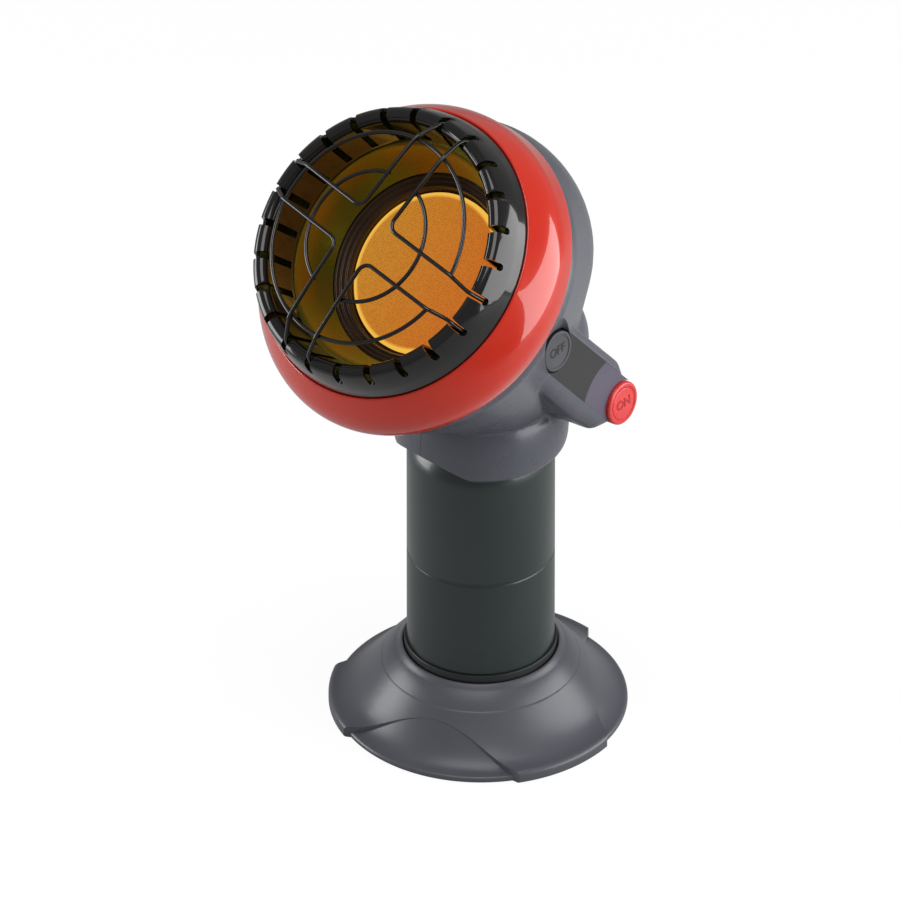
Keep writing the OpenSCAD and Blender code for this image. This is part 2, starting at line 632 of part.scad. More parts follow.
// Smooth body between the painted ring, the rounded back and the neck, shrunk by an inset.
module housing_hull(inset) hull() {
    head_frame() translate([0, 0, rear_t - 8]) rotate([0, 0, 2.5])
        cylinder(h = 10, r = housing_front_r - inset, $fn = 72);
    back_ball(back_r - inset);
    translate([0, 0, crease_z - (inset > 0 ? 3 : 0.5)]) rotate([0, 0, 2.5])
        cylinder(h = 1, r = crease_r - inset, $fn = 72);
}

// The housing ends in the plane of the painted ring's rear edge.
module housing_body(inset) intersection() {
    housing_hull(inset);
    head_frame() translate([0, 0, rear_t - 300]) cylinder(h = 300 + (inset > 0 ? 0.5 : 0), r = 250);
}

// Swelling of the housing behind the arm's root
lobe_r = 43;
module lobe(inset) translate([24, 16, 296]) sphere(r = lobe_r - inset, $fn = 64);

module skirt() {
    low_r = skirt_r - 2;
    // the skirt's top reaches into the housing's wall
    lap = 1.5;
    top_in_r = crease_r - shell_wall - 1.2;
    rotate_extrude() polygon([
        [top_in_r, crease_z + lap], [crease_r - 0.8, crease_z + lap], [crease_r + 0.5, crease_z],
        [crease_r + 2.6, crease_z - 4], [skirt_r - 0.6, skirt_z + 24], [skirt_r, skirt_z + 15],
        [skirt_r - 0.5, skirt_z + 5], [low_r, skirt_z], [low_r - shell_wall, skirt_z],
        [skirt_r - 0.5 - shell_wall, skirt_z + 5], [skirt_r - shell_wall, skirt_z + 15],
        [skirt_r - 0.6 - shell_wall, skirt_z + 24], [top_in_r, crease_z - 4]
    ]);
}

module skirt_arch() {
    arch_r = (arch_half_w * arch_half_w + arch_h * arch_h) / (2 * arch_h);
    translate([0, 0, skirt_z + arch_h - arch_r]) rotate([90, 0, 0]) cylinder(h = skirt_r + 10, r = arch_r);
}

// Centres of the arm's rounded corners on its face, from the root round to the end and back
arm_root = -14;
arm_corners = [
    [arm_root, 13.5], [button_span - 19, 13.5], [button_span - 7, 8], [button_span - 4, -10],
    [button_span - 13, -17.5], [button_span - 40, -20.5], [arm_root, -19]
];

module arm_body(inset) arm_frame() hull() {
    r = arm_round - inset;
    for (p = arm_corners)
        for (z = [-arm_round, arm_round - arm_deep]) translate([p[0], p[1], z])
            sphere(r = r, $fn = inset > 0 ? 16 : 24);
}

// Long hole with round ends on the arm's face, from one button to the other.
module label_slot(r, h) {
    cylinder(h = h, r = r);
    translate([button_span, 0, 0]) cylinder(h = h, r = r);
    translate([0, -r, 0]) cube([button_span, 2 * r, h]);
}

off_deep = 9;
on_deep = 13;

module arm_cuts() arm_frame() {
    translate([0, 0, -label_sink]) label_slot(label_r, 12);
    translate([0, 0, -off_deep]) cylinder(h = 30, r = label_r);
    translate([button_span, 0, -on_deep]) cylinder(h = 30, r = on_r + on_gap);
}

boss_at = [[52, 352], [43, 288], [26, 424]];
boss_r = 4.5;
screw_r = 1.5;

module housing_half(side) {
    intersection() {
        difference() {
            union() {
                housing_body(0);
                skirt();
                if (side > 0) lobe(0);
                if (side > 0) arm_body(0);
            }
            difference() {
                union() {
                    housing_body(shell_wall);
                    if (side > 0) lobe(shell_wall);
                    if (side > 0) arm_body(shell_wall);
                }
                if (side > 0) arm_walls();
                for (p = boss_at) translate([0, p[0], p[1]]) rotate([0, 90, 0])
                    cylinder(h = 2 * back_r, r = boss_r, center = true, $fn = 32);
                plate_ledge();
            }
            skirt_arch();
            if (side > 0) arm_cuts();
            for (p = boss_at) translate([-back_r, p[0], p[1]]) rotate([0, 90, 0]) {
                cylinder(h = back_r + 12, r = screw_r + 0.05, $fn = 32);
                cylinder(h = back_r - 18, r = 3.2, $fn = 32);
            }
        }
        translate([side > 0 ? 0 : -200, -200, 0]) cube([200, 400, 520]);
    }
}

// Ring inside the neck that the regulator's plate lies on.
module plate_ledge() difference() {
    translate([0, 0, crease_z - 1.5]) cylinder(h = plate_z - crease_z + 1.5, r = crease_r + 3);
    translate([0, 0, crease_z - 2]) cylinder(h = 6, r = crease_r - shell_wall - 3);
}

// Walls inside the arm round each button's well.
module arm_walls() arm_frame() {
    translate([0, 0, -off_deep - shell_wall]) cylinder(h = 20, r = label_r + shell_wall);
    translate([button_span, 0, -on_deep - shell_wall]) cylinder(h = 20, r = on_r + on_gap + shell_wall);
    translate([-label_r, -label_r, -label_sink - shell_wall]) cube([button_span + label_r, 2 * label_r, 12]);
}

// Bores in the wells' floors for the button stems.
module stem_bores() arm_frame() for (x = [0, button_span - stem_back]) translate([x, 0, -20]) cylinder(h = 16, r = 5.5);

module housing_left() color([0.36, 0.37, 0.4]) housing_half(-1);
module housing_right() color([0.36, 0.37, 0.4]) difference() {
    housing_half(1);
    stem_bores();
}

module housing_screws() color([0.3, 0.3, 0.32]) for (p = boss_at) translate([-18, p[0], p[1]]) rotate([0, 90, 0]) {
    cylinder(h = 28, r = screw_r, $fn = 32);
    translate([0, 0, -2.2]) cylinder(h = 2.2, r = 2.9, $fn = 32);
}

// ---------- control arm ----------

block_top = -19;
block_h = 19;
block_half = 8;

module valve_block() color([0.7, 0.7, 0.68]) arm_frame() difference() {
    union() {
        translate([-9, -block_half, block_top - block_h]) cube([button_span + 7, 2 * block_half, block_h]);
        for (x = [0, button_span - stem_back]) translate([x, 0, block_top - 1]) cylinder(h = 2.2, r = 5, $fn = 48);
    }
    for (x = [0, button_span - stem_back]) translate([x, 0, block_top - block_h - 1])
        cylinder(h = block_h + 5, r = stem_r + running_gap);
}

module label_panel() color([0.2, 0.19, 0.22]) arm_frame() difference() {
    r = label_r - seat_gap;
    translate([0, 0, -label_sink]) label_slot(r, label_sink * 0.6);
    translate([0, 0, -5]) cylinder(h = 10, r = label_r);
    translate([button_span, 0, -5]) cylinder(h = 10, r = on_r + on_gap);
}

module off_button() color([0.42, 0.43, 0.46]) arm_frame() {
    proud = 1.2;
    low = off_deep - off_travel - air;
    rotate_extrude() polygon([
        [0, -low], [off_r - 0.3, -low], [off_r, -low + 1], [off_r, proud - 1], [off_r - 1, proud], [off_r - 2.2, proud],
        [off_r - 3, proud - 0.5], [0, proud - 0.7]
    ]);
    translate([0, 0, block_top - 14]) cylinder(h = 14.5 - block_top - low, r = stem_r);
}

module on_button() color([0.86, 0.2, 0.2]) arm_frame() translate([button_span, 0, 0]) {
    proud = 2.6;
    low = on_deep - on_travel - air;
    groove_r = on_r - 3.4;
    rotate_extrude() polygon([
        [0, -low], [on_r - 0.5, -low], [on_r, -low + 1], [on_r, proud - 1.8], [on_r - 1.2, proud - 0.3],
        [on_r - 2.4, proud], [groove_r + 0.6, proud], [groove_r + 0.2, proud - 0.8], [groove_r - 0.4, proud - 0.8],
        [groove_r - 0.8, proud - 0.3], [0, proud - 0.2]
    ]);
    translate([-stem_back, 0, block_top - 12]) cylinder(h = 12.5 - block_top - low, r = stem_r);
}

// Spring round a stem, between the well's floor boss and the button's underside.
module coil(x, from, to, turns) {
    r = stem_r + 1.3;
    n = turns * 10;
    arm_frame() translate([x, 0, 0])
        swept([for (i = [0:n]) [r * cos(36 * i), r * sin(36 * i), from + (to - from) * i / n]], 0.4, 6);
}

module off_spring() color([0.75, 0.75, 0.77]) coil(0, block_top + 1.7, -(off_deep - off_travel - air) - 0.5, 5);
module on_spring() color([0.75, 0.75, 0.77])
    coil(button_span - stem_back, block_top + 1.7, -(on_deep - on_travel - air) - 0.5, 5);

// Distance of the igniter's end from the stop button
piezo_at = 34;

module piezo_igniter() color([0.12, 0.12, 0.13]) arm_frame() translate([piezo_at, 0, block_top + 6.2]) rotate([0, 90, 0]) {
    cylinder(h = 30, r = 6, $fn = 48);
    translate([0, 0, 30]) cylinder(h = 6, r = 3.5, $fn = 32);
}

// ---------- tubes and leads ----------

function arm_point(p) =
    let(y1 = p[1] * cos(arm_lean) + p[2] * sin(arm_lean), z1 = p[2] * cos(arm_lean) - p[1] * sin(arm_lean),
        x2 = p[0] * cos(arm_drop) + y1 * sin(arm_drop), y2 = y1 * cos(arm_drop) - p[0] * sin(arm_drop))
    [arm_x + z1, arm_y + x2, arm_z + y2];
function head_point(p) = [p[0], p[1] * cos(head_tilt) - p[2] * sin(head_tilt),
    pivot_z + p[1] * sin(head_tilt) + p[2] * cos(head_tilt)];

module gas_inlet_tube() color([0.72, 0.5, 0.35]) {
    z = plate_z + plate_h + 4;
    a = reg_boss_end + air;
    dir = [cos(boss_dir), sin(boss_dir), 0];
    seat = block_top - block_h - air;
    swept(smooth([
        a * dir + [0, 0, z], (a + 2) * dir + [0, 0, z], (a + 5) * dir + [0, 0, z], [33, 22, z + 6],
        arm_point([58, 0, seat - 6]), arm_point([58, 0, seat - 3]), arm_point([58, 0, seat])], 4), 2.4);
}

module gas_outlet_tube() color([0.72, 0.5, 0.35]) swept(smooth([
    arm_point([14, 0, block_top - block_h - air]), arm_point([14, 0, block_top - block_h - 3]),
    arm_point([14, 0, block_top - block_h - 7]),
    [22, 4, 306], head_point([4, 0, injector_t - 14]), head_point([0, 0, injector_t - 10]),
    head_point([0, 0, injector_t - 4 - air])], 4), 2.4);

module thermocouple_lead() color([0.72, 0.5, 0.35]) swept(smooth([
    head_point([pilot_at_r * cos(pilot_dirs[0]), pilot_at_r * sin(pilot_dirs[0]), bracket_t - 6 - air]),
    head_point([pilot_at_r * cos(pilot_dirs[0]), pilot_at_r * sin(pilot_dirs[0]), bracket_t - 16]),
    [50, -45, 300], [54, -22, 305], arm_point([4, -4, block_top - block_h - 8]),
    arm_point([4, -4, block_top - block_h - air])], 4), 1.1, 6);

module igniter_lead() color([0.75, 0.1, 0.08]) swept(smooth([
    head_point([pilot_at_r * cos(pilot_dirs[2]), pilot_at_r * sin(pilot_dirs[2]), bracket_t - 8 - air]),
    head_point([pilot_at_r * cos(pilot_dirs[2]), pilot_at_r * sin(pilot_dirs[2]), bracket_t - 18]),
    [64, -26, 318], arm_point([10, -15, block_top + 3]), arm_point([21, -5, block_top + 5]),
    arm_point([piezo_at - 6, 0, block_top + 6.2]), arm_point([piezo_at - 3, 0, block_top + 6.2]),
    arm_point([piezo_at - air, 0, block_top + 6.2])], 4), 1.3, 6);

// ---------- output ----------

base_foot();
foot_boot();
fuel_cylinder();
outlet_valve();
valve_core();
relief_valve();
inlet_seal();
regulator();
regulator_plate();
housing_left();
housing_right();
housing_screws();
front_ring();
slotted_rim();
wire_guard();
reflector();
burner_rim();
ceramic_tile();
tile_gasket();
plenum();
mixing_tube();
injector();
gas_inlet_tube();
gas_outlet_tube();
valve_block();
pilot_bracket();
pilot_burner();
thermocouple();
igniter_electrode();
thermocouple_lead();
igniter_lead();
piezo_igniter();
tip_switch();
label_panel();
off_button();
on_button();
off_spring();
on_spring();
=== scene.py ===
"""Portable propane heater: the looks of a radiant head on a fuel cylinder in a bell-shaped foot.

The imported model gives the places; each class below models one sub-assembly in its real size, in metres.
"""

import logging
import math
from collections.abc import Callable, Sequence
from dataclasses import dataclass, field
from enum import Enum

import bpy
from mathutils import Matrix, Vector


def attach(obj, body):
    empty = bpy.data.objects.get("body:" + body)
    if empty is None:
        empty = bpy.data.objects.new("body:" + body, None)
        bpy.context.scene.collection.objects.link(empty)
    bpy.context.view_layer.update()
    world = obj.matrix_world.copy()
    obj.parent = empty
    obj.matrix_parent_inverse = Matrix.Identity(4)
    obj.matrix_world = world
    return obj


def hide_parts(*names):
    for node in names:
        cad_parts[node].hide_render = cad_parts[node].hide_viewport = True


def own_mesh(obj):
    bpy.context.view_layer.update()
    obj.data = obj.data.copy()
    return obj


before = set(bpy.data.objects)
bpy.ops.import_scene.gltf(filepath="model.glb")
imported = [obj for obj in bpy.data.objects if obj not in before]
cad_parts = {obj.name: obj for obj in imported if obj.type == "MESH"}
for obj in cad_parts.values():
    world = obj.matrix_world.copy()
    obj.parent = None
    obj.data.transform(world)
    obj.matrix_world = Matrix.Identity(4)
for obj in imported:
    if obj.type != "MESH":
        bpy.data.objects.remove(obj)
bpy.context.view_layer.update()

log = logging.getLogger("heater")

MM = 0.001
HEAD_PIVOT_Z = 0.3186
HEAD_TILT = math.radians(45)
FACE_T = 0.1165
HEAD_PLACE = Matrix.Translation((0, 0, HEAD_PIVOT_Z)) @ Matrix.Rotation(HEAD_TILT, 4, "X")
ARM_PLACE = (
    Matrix.Translation((0.083, -0.0145, 0.3286))
    @ Matrix.Rotation(math.radians(90), 4, "Z")
    @ Matrix.Rotation(math.radians(90), 4, "X")
    @ Matrix.Rotation(math.radians(-49.7), 4, "Z")
    @ Matrix.Rotation(math.radians(-7), 4, "X")
)
BUTTON_SPAN = 0.095

Point2 = tuple[float, float]
Point3 = tuple[float, float, float]
Colour = tuple[float, float, float]


class Body(Enum):
    """The moving bodies of the heater."""

    FOOT = "foot"
    CYLINDER = "cylinder"
    HEAD = "head"
    ON_KEY = "on_key"
    OFF_KEY = "off_key"


def linear(red: int, green: int, blue: int) -> Colour:
    """Turn a display colour into a linear one.

    Args:
        red: Red, 0 to 255.
        green: Green, 0 to 255.
        blue: Blue, 0 to 255.

    Returns:
        The linear colour, each channel 0 to 1.
    """
    def channel(value: int) -> float:
        """Linear value of one display channel."""
        part = value / 255
        return part / 12.92 if part <= 0.04045 else ((part + 0.055) / 1.055) ** 2.4

    return channel(red), channel(green), channel(blue)


def arc(centre: Point2, radius: float, start: float, end: float, steps: int) -> list[Point2]:
    """Points of an arc in a profile's plane.

    Args:
        centre: Middle of the arc.
        radius: Radius of the arc.
        start: Start angle in degrees.
        end: End angle in degrees.
        steps: Number of steps along the arc.

    Returns:
        The points from start to end.
    """
    turn = [math.radians(start + (end - start) * i / steps) for i in range(steps + 1)]
    return [(centre[0] + radius * math.cos(a), centre[1] + radius * math.sin(a)) for a in turn]


def flowing(points: Sequence[Sequence[float]], steps: int) -> list[tuple[float, ...]]:
    """Run a smooth line through chosen points.

    Args:
        points: The points that the line passes through.
        steps: Steps between neighbours.

    Returns:
        The finer line.
    """
    line = []
    for i in range(len(points) - 1):
        before, start, end, after = (points[max(i - 1, 0)], points[i], points[i + 1],
                                     points[min(i + 2, len(points) - 1)])
        for k in range(steps):
            u = k / steps
            line.append(tuple(
                0.5 * (2 * b + (c - a) * u + (2 * a - 5 * b + 4 * c - d) * u**2 + (3 * b - a - 3 * c + d) * u**3)
                for a, b, c, d in zip(before, start, end, after)))
    line.append(tuple(points[-1]))
    return line


class Bench:
    """Modelling steps that the sub-assemblies share, each done with Blender's own tools."""

    @staticmethod
    def clear() -> None:
        """Deselect everything."""
        if bpy.context.object and bpy.context.object.mode != "OBJECT":
            bpy.ops.object.mode_set(mode="OBJECT")
        bpy.ops.object.select_all(action="DESELECT")

    @staticmethod
    def pick(piece: bpy.types.Object) -> None:
        """Make one piece the only selected and active one."""
        Bench.clear()
        piece.select_set(True)
        bpy.context.view_layer.objects.active = piece

    @staticmethod
    def named(name: str) -> bpy.types.Object:
        """Name the piece that was just added, and return it."""
        piece = bpy.context.object
        piece.name = name
        piece.data.name = name
        return piece

    @staticmethod
    def settle(piece: bpy.types.Object, place: Matrix | None = None) -> bpy.types.Object:
        """Put a piece in its place and work that place into its mesh.

        Args:
            piece: The piece.
            place: The place that is applied on top of the piece's own.

        Returns:
            The same piece, with its object at the origin.
        """
        Bench.pick(piece)
        if place is not None:
            piece.matrix_world = place @ piece.matrix_world
        bpy.ops.object.transform_apply(location=True, rotation=True, scale=True)
        return piece

    @staticmethod
    def outline(name: str, points: Sequence[Point2], closed: bool) -> bpy.types.Object:
        """Draw a line of edges in the XZ plane, by extruding a single corner.

        Args:
            name: Name of the piece.
            points: Radius and height of each corner.
            closed: Whether the last corner joins the first.

        Returns:
            A mesh of edges.
        """
        Bench.clear()
        bpy.ops.mesh.primitive_plane_add(size=MM, location=(0, 0, 0))
        line = Bench.named(name)
        bpy.ops.object.mode_set(mode="EDIT")
        bpy.ops.mesh.select_all(action="SELECT")
        bpy.ops.mesh.merge(type="CENTER")
        bpy.ops.transform.translate(value=(points[0][0], 0, points[0][1]))
        for (r0, z0), (r1, z1) in zip(points, points[1:]):
            bpy.ops.mesh.extrude_region_move(TRANSFORM_OT_translate={"value": (r1 - r0, 0, z1 - z0)})
        if closed:
            bpy.ops.object.mode_set(mode="OBJECT")
            for vertex in line.data.vertices:
                vertex.select = vertex.index in (0, len(line.data.vertices) - 1)
            bpy.ops.object.mode_set(mode="EDIT")
            bpy.ops.mesh.edge_face_add()
        return line

    @staticmethod
    def turned(name: str, points: Sequence[Point2], steps: int = 144, closed: bool = False) -> bpy.types.Object:
        """Spin a profile round the Z axis.

        Args:
            name: Name of the piece.
            points: Radius and height of each corner of the profile.
            steps: Number of steps round the axis.
            closed: Whether the profile is a closed ring.

        Returns:
            The turned piece, closed and smooth.
        """
        piece = Bench.outline(name, points, closed)
        bpy.ops.mesh.select_all(action="SELECT")
        bpy.ops.mesh.spin(steps=steps, angle=math.tau, center=(0, 0, 0), axis=(0, 0, 1))
        bpy.ops.mesh.select_all(action="SELECT")
        bpy.ops.mesh.remove_doubles(threshold=1e-6)
        bpy.ops.mesh.normals_make_consistent(inside=False)
        bpy.ops.object.mode_set(mode="OBJECT")
        return piece

    @staticmethod
    def smooth(piece: bpy.types.Object, angle: float = 35) -> bpy.types.Object:
        """Shade a piece smooth, but for edges sharper than the angle in degrees."""
        Bench.pick(piece)
        bpy.ops.object.shade_smooth_by_angle(angle=math.radians(angle), keep_sharp_edges=False)
        return piece

    @staticmethod
    def apply(piece: bpy.types.Object, kind: str, **settings: object) -> bpy.types.Object:
        """Add a modifier with its settings, and apply it.

        Args:
            piece: The piece.
            kind: Blender's name for the modifier.
            **settings: Values of the modifier.

        Returns:
            The same piece.
        """
        Bench.pick(piece)
        modifier = piece.modifiers.new(kind.lower(), kind)
        for key, value in settings.items():
            setattr(modifier, key, value)
        bpy.ops.object.modifier_apply(modifier=modifier.name)
        return piece

    @staticmethod
    def soften(piece: bpy.types.Object, width: float, segments: int = 3, angle: float = 30) -> bpy.types.Object:
        """Round the sharp edges of a piece."""
        return Bench.apply(piece, "BEVEL", width=width, segments=segments, limit_method="ANGLE",
                           angle_limit=math.radians(angle), harden_normals=False, miter_outer="MITER_ARC")

    @staticmethod
    def cut(piece: bpy.types.Object, tool: bpy.types.Object, operation: str = "DIFFERENCE") -> bpy.types.Object:
        """Cut one piece with another, or join them, and remove the tool.

        Args:
            piece: The piece that stays.
            tool: The piece that is used up.
            operation: DIFFERENCE, UNION or INTERSECT.

        Returns:
            The piece that stays.
        """
        Bench.apply(piece, "BOOLEAN", object=tool, operation=operation, solver="EXACT")
        bpy.data.objects.remove(tool, do_unlink=True)
        return piece

    @staticmethod
    def joined(pieces: Sequence[bpy.types.Object], name: str) -> bpy.types.Object:
        """Join pieces into one mesh object of that name."""
        Bench.pick(pieces[0])
        for piece in pieces:
            piece.select_set(True)
        bpy.ops.object.join()
        return Bench.named(name)

    @staticmethod
    def drum(name: str, radius: float, depth: float, place: Matrix, corners: int = 48) -> bpy.types.Object:
        """Add a cylinder that stands on its place's XY plane, as a tool or a start."""
        Bench.clear()
        bpy.ops.mesh.primitive_cylinder_add(vertices=corners, radius=radius, depth=depth, location=(0, 0, depth / 2))
        return Bench.settle(Bench.named(name), place)

    @staticmethod
    def block(name: str, low: Point3, high: Point3, place: Matrix) -> bpy.types.Object:
        """Add a box between two corners of a place, as a tool or a start."""
        Bench.clear()
        bpy.ops.mesh.primitive_cube_add(size=1, location=[(a + b) / 2 for a, b in zip(low, high)])
        piece = Bench.named(name)
        piece.scale = [b - a for a, b in zip(low, high)]
        return Bench.settle(piece, place)

    @staticmethod
    def ball(name: str, radius: float, centre: Point3, place: Matrix | None = None) -> bpy.types.Object:
        """Add a sphere, as a tool or a start."""
        Bench.clear()
        bpy.ops.mesh.primitive_uv_sphere_add(segments=64, ring_count=32, radius=radius, location=centre)
        return Bench.settle(Bench.named(name), place)

    @staticmethod
    def weld(piece: bpy.types.Object) -> bpy.types.Object:
        """Merge a piece's doubled corners and turn its faces outwards."""
        Bench.pick(piece)
        bpy.ops.object.mode_set(mode="EDIT")
        bpy.ops.mesh.select_all(action="SELECT")
        bpy.ops.mesh.remove_doubles(threshold=2e-6)
        bpy.ops.mesh.normals_make_consistent(inside=False)
        bpy.ops.object.mode_set(mode="OBJECT")
        return piece

    @staticmethod
    def wire(name: str, points: Sequence[Sequence[float]], radius: float, ring: bool = False) -> bpy.types.Object:
        """Bend a round wire along points.

        Args:
            name: Name of the piece.
            points: The line that the wire's middle follows.
            radius: Radius of the wire.
            ring: Whether the wire closes on itself.

        Returns:
            The wire as a mesh.
        """
        Bench.clear()
        bpy.ops.curve.primitive_nurbs_path_add(location=(0, 0, 0))
        line = bpy.context.object
        line.data.splines.clear()
        spline = line.data.splines.new("POLY")
        spline.points.add(len(points) - 1)
        for corner, place in zip(spline.points, points):
            corner.co = (*place, 1)
        spline.use_cyclic_u = ring
        line.data.bevel_depth = radius
        line.data.bevel_resolution = 4
        line.data.use_fill_caps = True
        line.data.twist_mode = "MINIMUM"
        bpy.ops.object.convert(target="MESH")
        return Bench.smooth(Bench.weld(Bench.named(name)), 60)

    @staticmethod
    def hulled(name: str, pieces: Sequence[bpy.types.Object]) -> bpy.types.Object:
        """Stretch a skin tightly round pieces, and use them up."""
        piece = Bench.joined(pieces, name)
        bpy.ops.object.mode_set(mode="EDIT")
        bpy.ops.mesh.select_all(action="SELECT")
        bpy.ops.mesh.convex_hull()
        bpy.ops.object.mode_set(mode="OBJECT")
        return piece


class Shader:
    """Node work that the finishes share."""

    @staticmethod
    def value_group(name: str, build: Callable[[bpy.types.NodeTree], None], inputs: dict[str, float],
                    outputs: dict[str, str]) -> bpy.types.NodeTree:
        """Make a node group once.

        Args:
            name: Name of the group.
            build: Fills the group with nodes.
            inputs: Name and default of each number that goes in.
            outputs: Name and socket type of each value that comes out.

        Returns:
            The group, which is made only the first time.
        """
        if name in bpy.data.node_groups:
            return bpy.data.node_groups[name]
        group = bpy.data.node_groups.new(name, "ShaderNodeTree")
        for label, default in inputs.items():
            group.interface.new_socket(label, in_out="INPUT", socket_type="NodeSocketFloat").default_value = default
        for label, kind in outputs.items():
            group.interface.new_socket(label, in_out="OUTPUT", socket_type=kind)
        build(group)
        return group

    @staticmethod
    def _fill_surface(group: bpy.types.NodeTree) -> None:
        """Fine grain for bump and a slow drift for tone and roughness."""
        nodes, links = group.nodes, group.links
        given, result = nodes.new("NodeGroupInput"), nodes.new("NodeGroupOutput")
        where = nodes.new("ShaderNodeTexCoord")
        grain, drift = nodes.new("ShaderNodeTexNoise"), nodes.new("ShaderNodeTexNoise")
        grain.inputs["Detail"].default_value = 3
        drift.inputs["Detail"].default_value = 4
        links.new(where.outputs["Object"], grain.inputs["Vector"])
        links.new(where.outputs["Object"], drift.inputs["Vector"])
        links.new(given.outputs["Grain scale"], grain.inputs["Scale"])
        links.new(given.outputs["Drift scale"], drift.inputs["Scale"])
        spread = nodes.new("ShaderNodeMapRange")
        spread.inputs["From Min"].default_value = 0.3
        spread.inputs["From Max"].default_value = 0.7
        links.new(drift.outputs["Fac"], spread.inputs["Value"])
        links.new(grain.outputs["Fac"], result.inputs["Grain"])
        links.new(spread.outputs["Result"], result.inputs["Drift"])

    @staticmethod
    def surface(tree: bpy.types.NodeTree, grain_scale: float, drift_scale: float) -> bpy.types.Node:
        """Place the surface group in a material.

        Args:
            tree: The material's nodes.
            grain_scale: Scale of the fine grain, per metre.
            drift_scale: Scale of the slow drift, per metre.

        Returns:
            The group's node, with outputs Grain and Drift.
        """
        group = Shader.value_group("surface_variation", Shader._fill_surface,
                                   {"Grain scale": 2000.0, "Drift scale": 20.0},
                                   {"Grain": "NodeSocketFloat", "Drift": "NodeSocketFloat"})
        node = tree.nodes.new("ShaderNodeGroup")
        node.node_tree = group
        node.inputs["Grain scale"].default_value = grain_scale
        node.inputs["Drift scale"].default_value = drift_scale
        return node

    @staticmethod
    def between(tree: bpy.types.NodeTree, share: bpy.types.NodeSocket, low: float, high: float) -> bpy.types.NodeSocket:
        """Map a 0 to 1 value onto a range."""
        node = tree.nodes.new("ShaderNodeMapRange")
        node.inputs["To Min"].default_value = low
        node.inputs["To Max"].default_value = high
        tree.links.new(share, node.inputs["Value"])
        return node.outputs["Result"]

    @staticmethod
    def blended(tree: bpy.types.NodeTree, share: bpy.types.NodeSocket, low: Colour, high: Colour) -> bpy.types.NodeSocket:
        """Mix two colours by a 0 to 1 value."""
        node = tree.nodes.new("ShaderNodeMix")
        node.data_type = "RGBA"
        node.inputs[6].default_value = (*low, 1)
        node.inputs[7].default_value = (*high, 1)
        tree.links.new(share, node.inputs[0])
        return node.outputs[2]


@dataclass(frozen=True)
class Finish:
    """A surface finish: its colour, how it varies, its gloss, its grain and its clear coat."""

    name: str
    slot: str
    colour: Colour
    deep: Colour
    roughness: tuple[float, float]
    metallic: float = 0.0
    grain_scale: float = 1500.0
    drift_scale: float = 18.0
    bump: float = 0.0
    coat: float = 0.0
    coat_roughness: float = 0.04
    specular: float = 0.5

    def made(self) -> bpy.types.Material:
        """Build the material once.

        Returns:
            The material of this finish.
        """
        label = f"finish_{self.name}"
        if label in bpy.data.materials:
            return bpy.data.materials[label]
        material = bpy.data.materials.new(label)
        material.use_nodes = True
        tree = material.node_tree
        shader = tree.nodes["Principled BSDF"]
        varied = Shader.surface(tree, self.grain_scale, self.drift_scale)
        tree.links.new(Shader.blended(tree, varied.outputs["Drift"], self.deep, self.colour),
                       shader.inputs["Base Color"])
        tree.links.new(Shader.between(tree, varied.outputs["Drift"], *self.roughness), shader.inputs["Roughness"])
        shader.inputs["Metallic"].default_value = self.metallic
        shader.inputs["Specular IOR Level"].default_value = self.specular
        shader.inputs["Coat Weight"].default_value = self.coat
        shader.inputs["Coat Roughness"].default_value = self.coat_roughness
        if self.bump:
            bump = tree.nodes.new("ShaderNodeBump")
            bump.inputs["Strength"].default_value = 1.0
            bump.inputs["Distance"].default_value = self.bump
            tree.links.new(varied.outputs["Grain"], bump.inputs["Height"])
            tree.links.new(bump.outputs["Normal"], shader.inputs["Normal"])
        self.extra(tree, shader, varied)
        return material

    def extra(self, tree: bpy.types.NodeTree, shader: bpy.types.Node, varied: bpy.types.Node) -> None:
        """Add what only one kind of finish has."""

    def dress(self, piece: bpy.types.Object) -> bpy.types.Object:
        """Give a new piece this finish.

        Args:
            piece: The piece.

        Returns:
            The same piece.
        """
        piece.data.materials.clear()
        piece.data.materials.append(self.made())
        return piece

    def dress_node(self, node: str) -> None:
        """Give a CAD node this finish."""
        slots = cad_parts[node].data.materials
        if not slots:
            slots.append(self.made())
        for i in range(len(slots)):
            slots[i] = self.made()


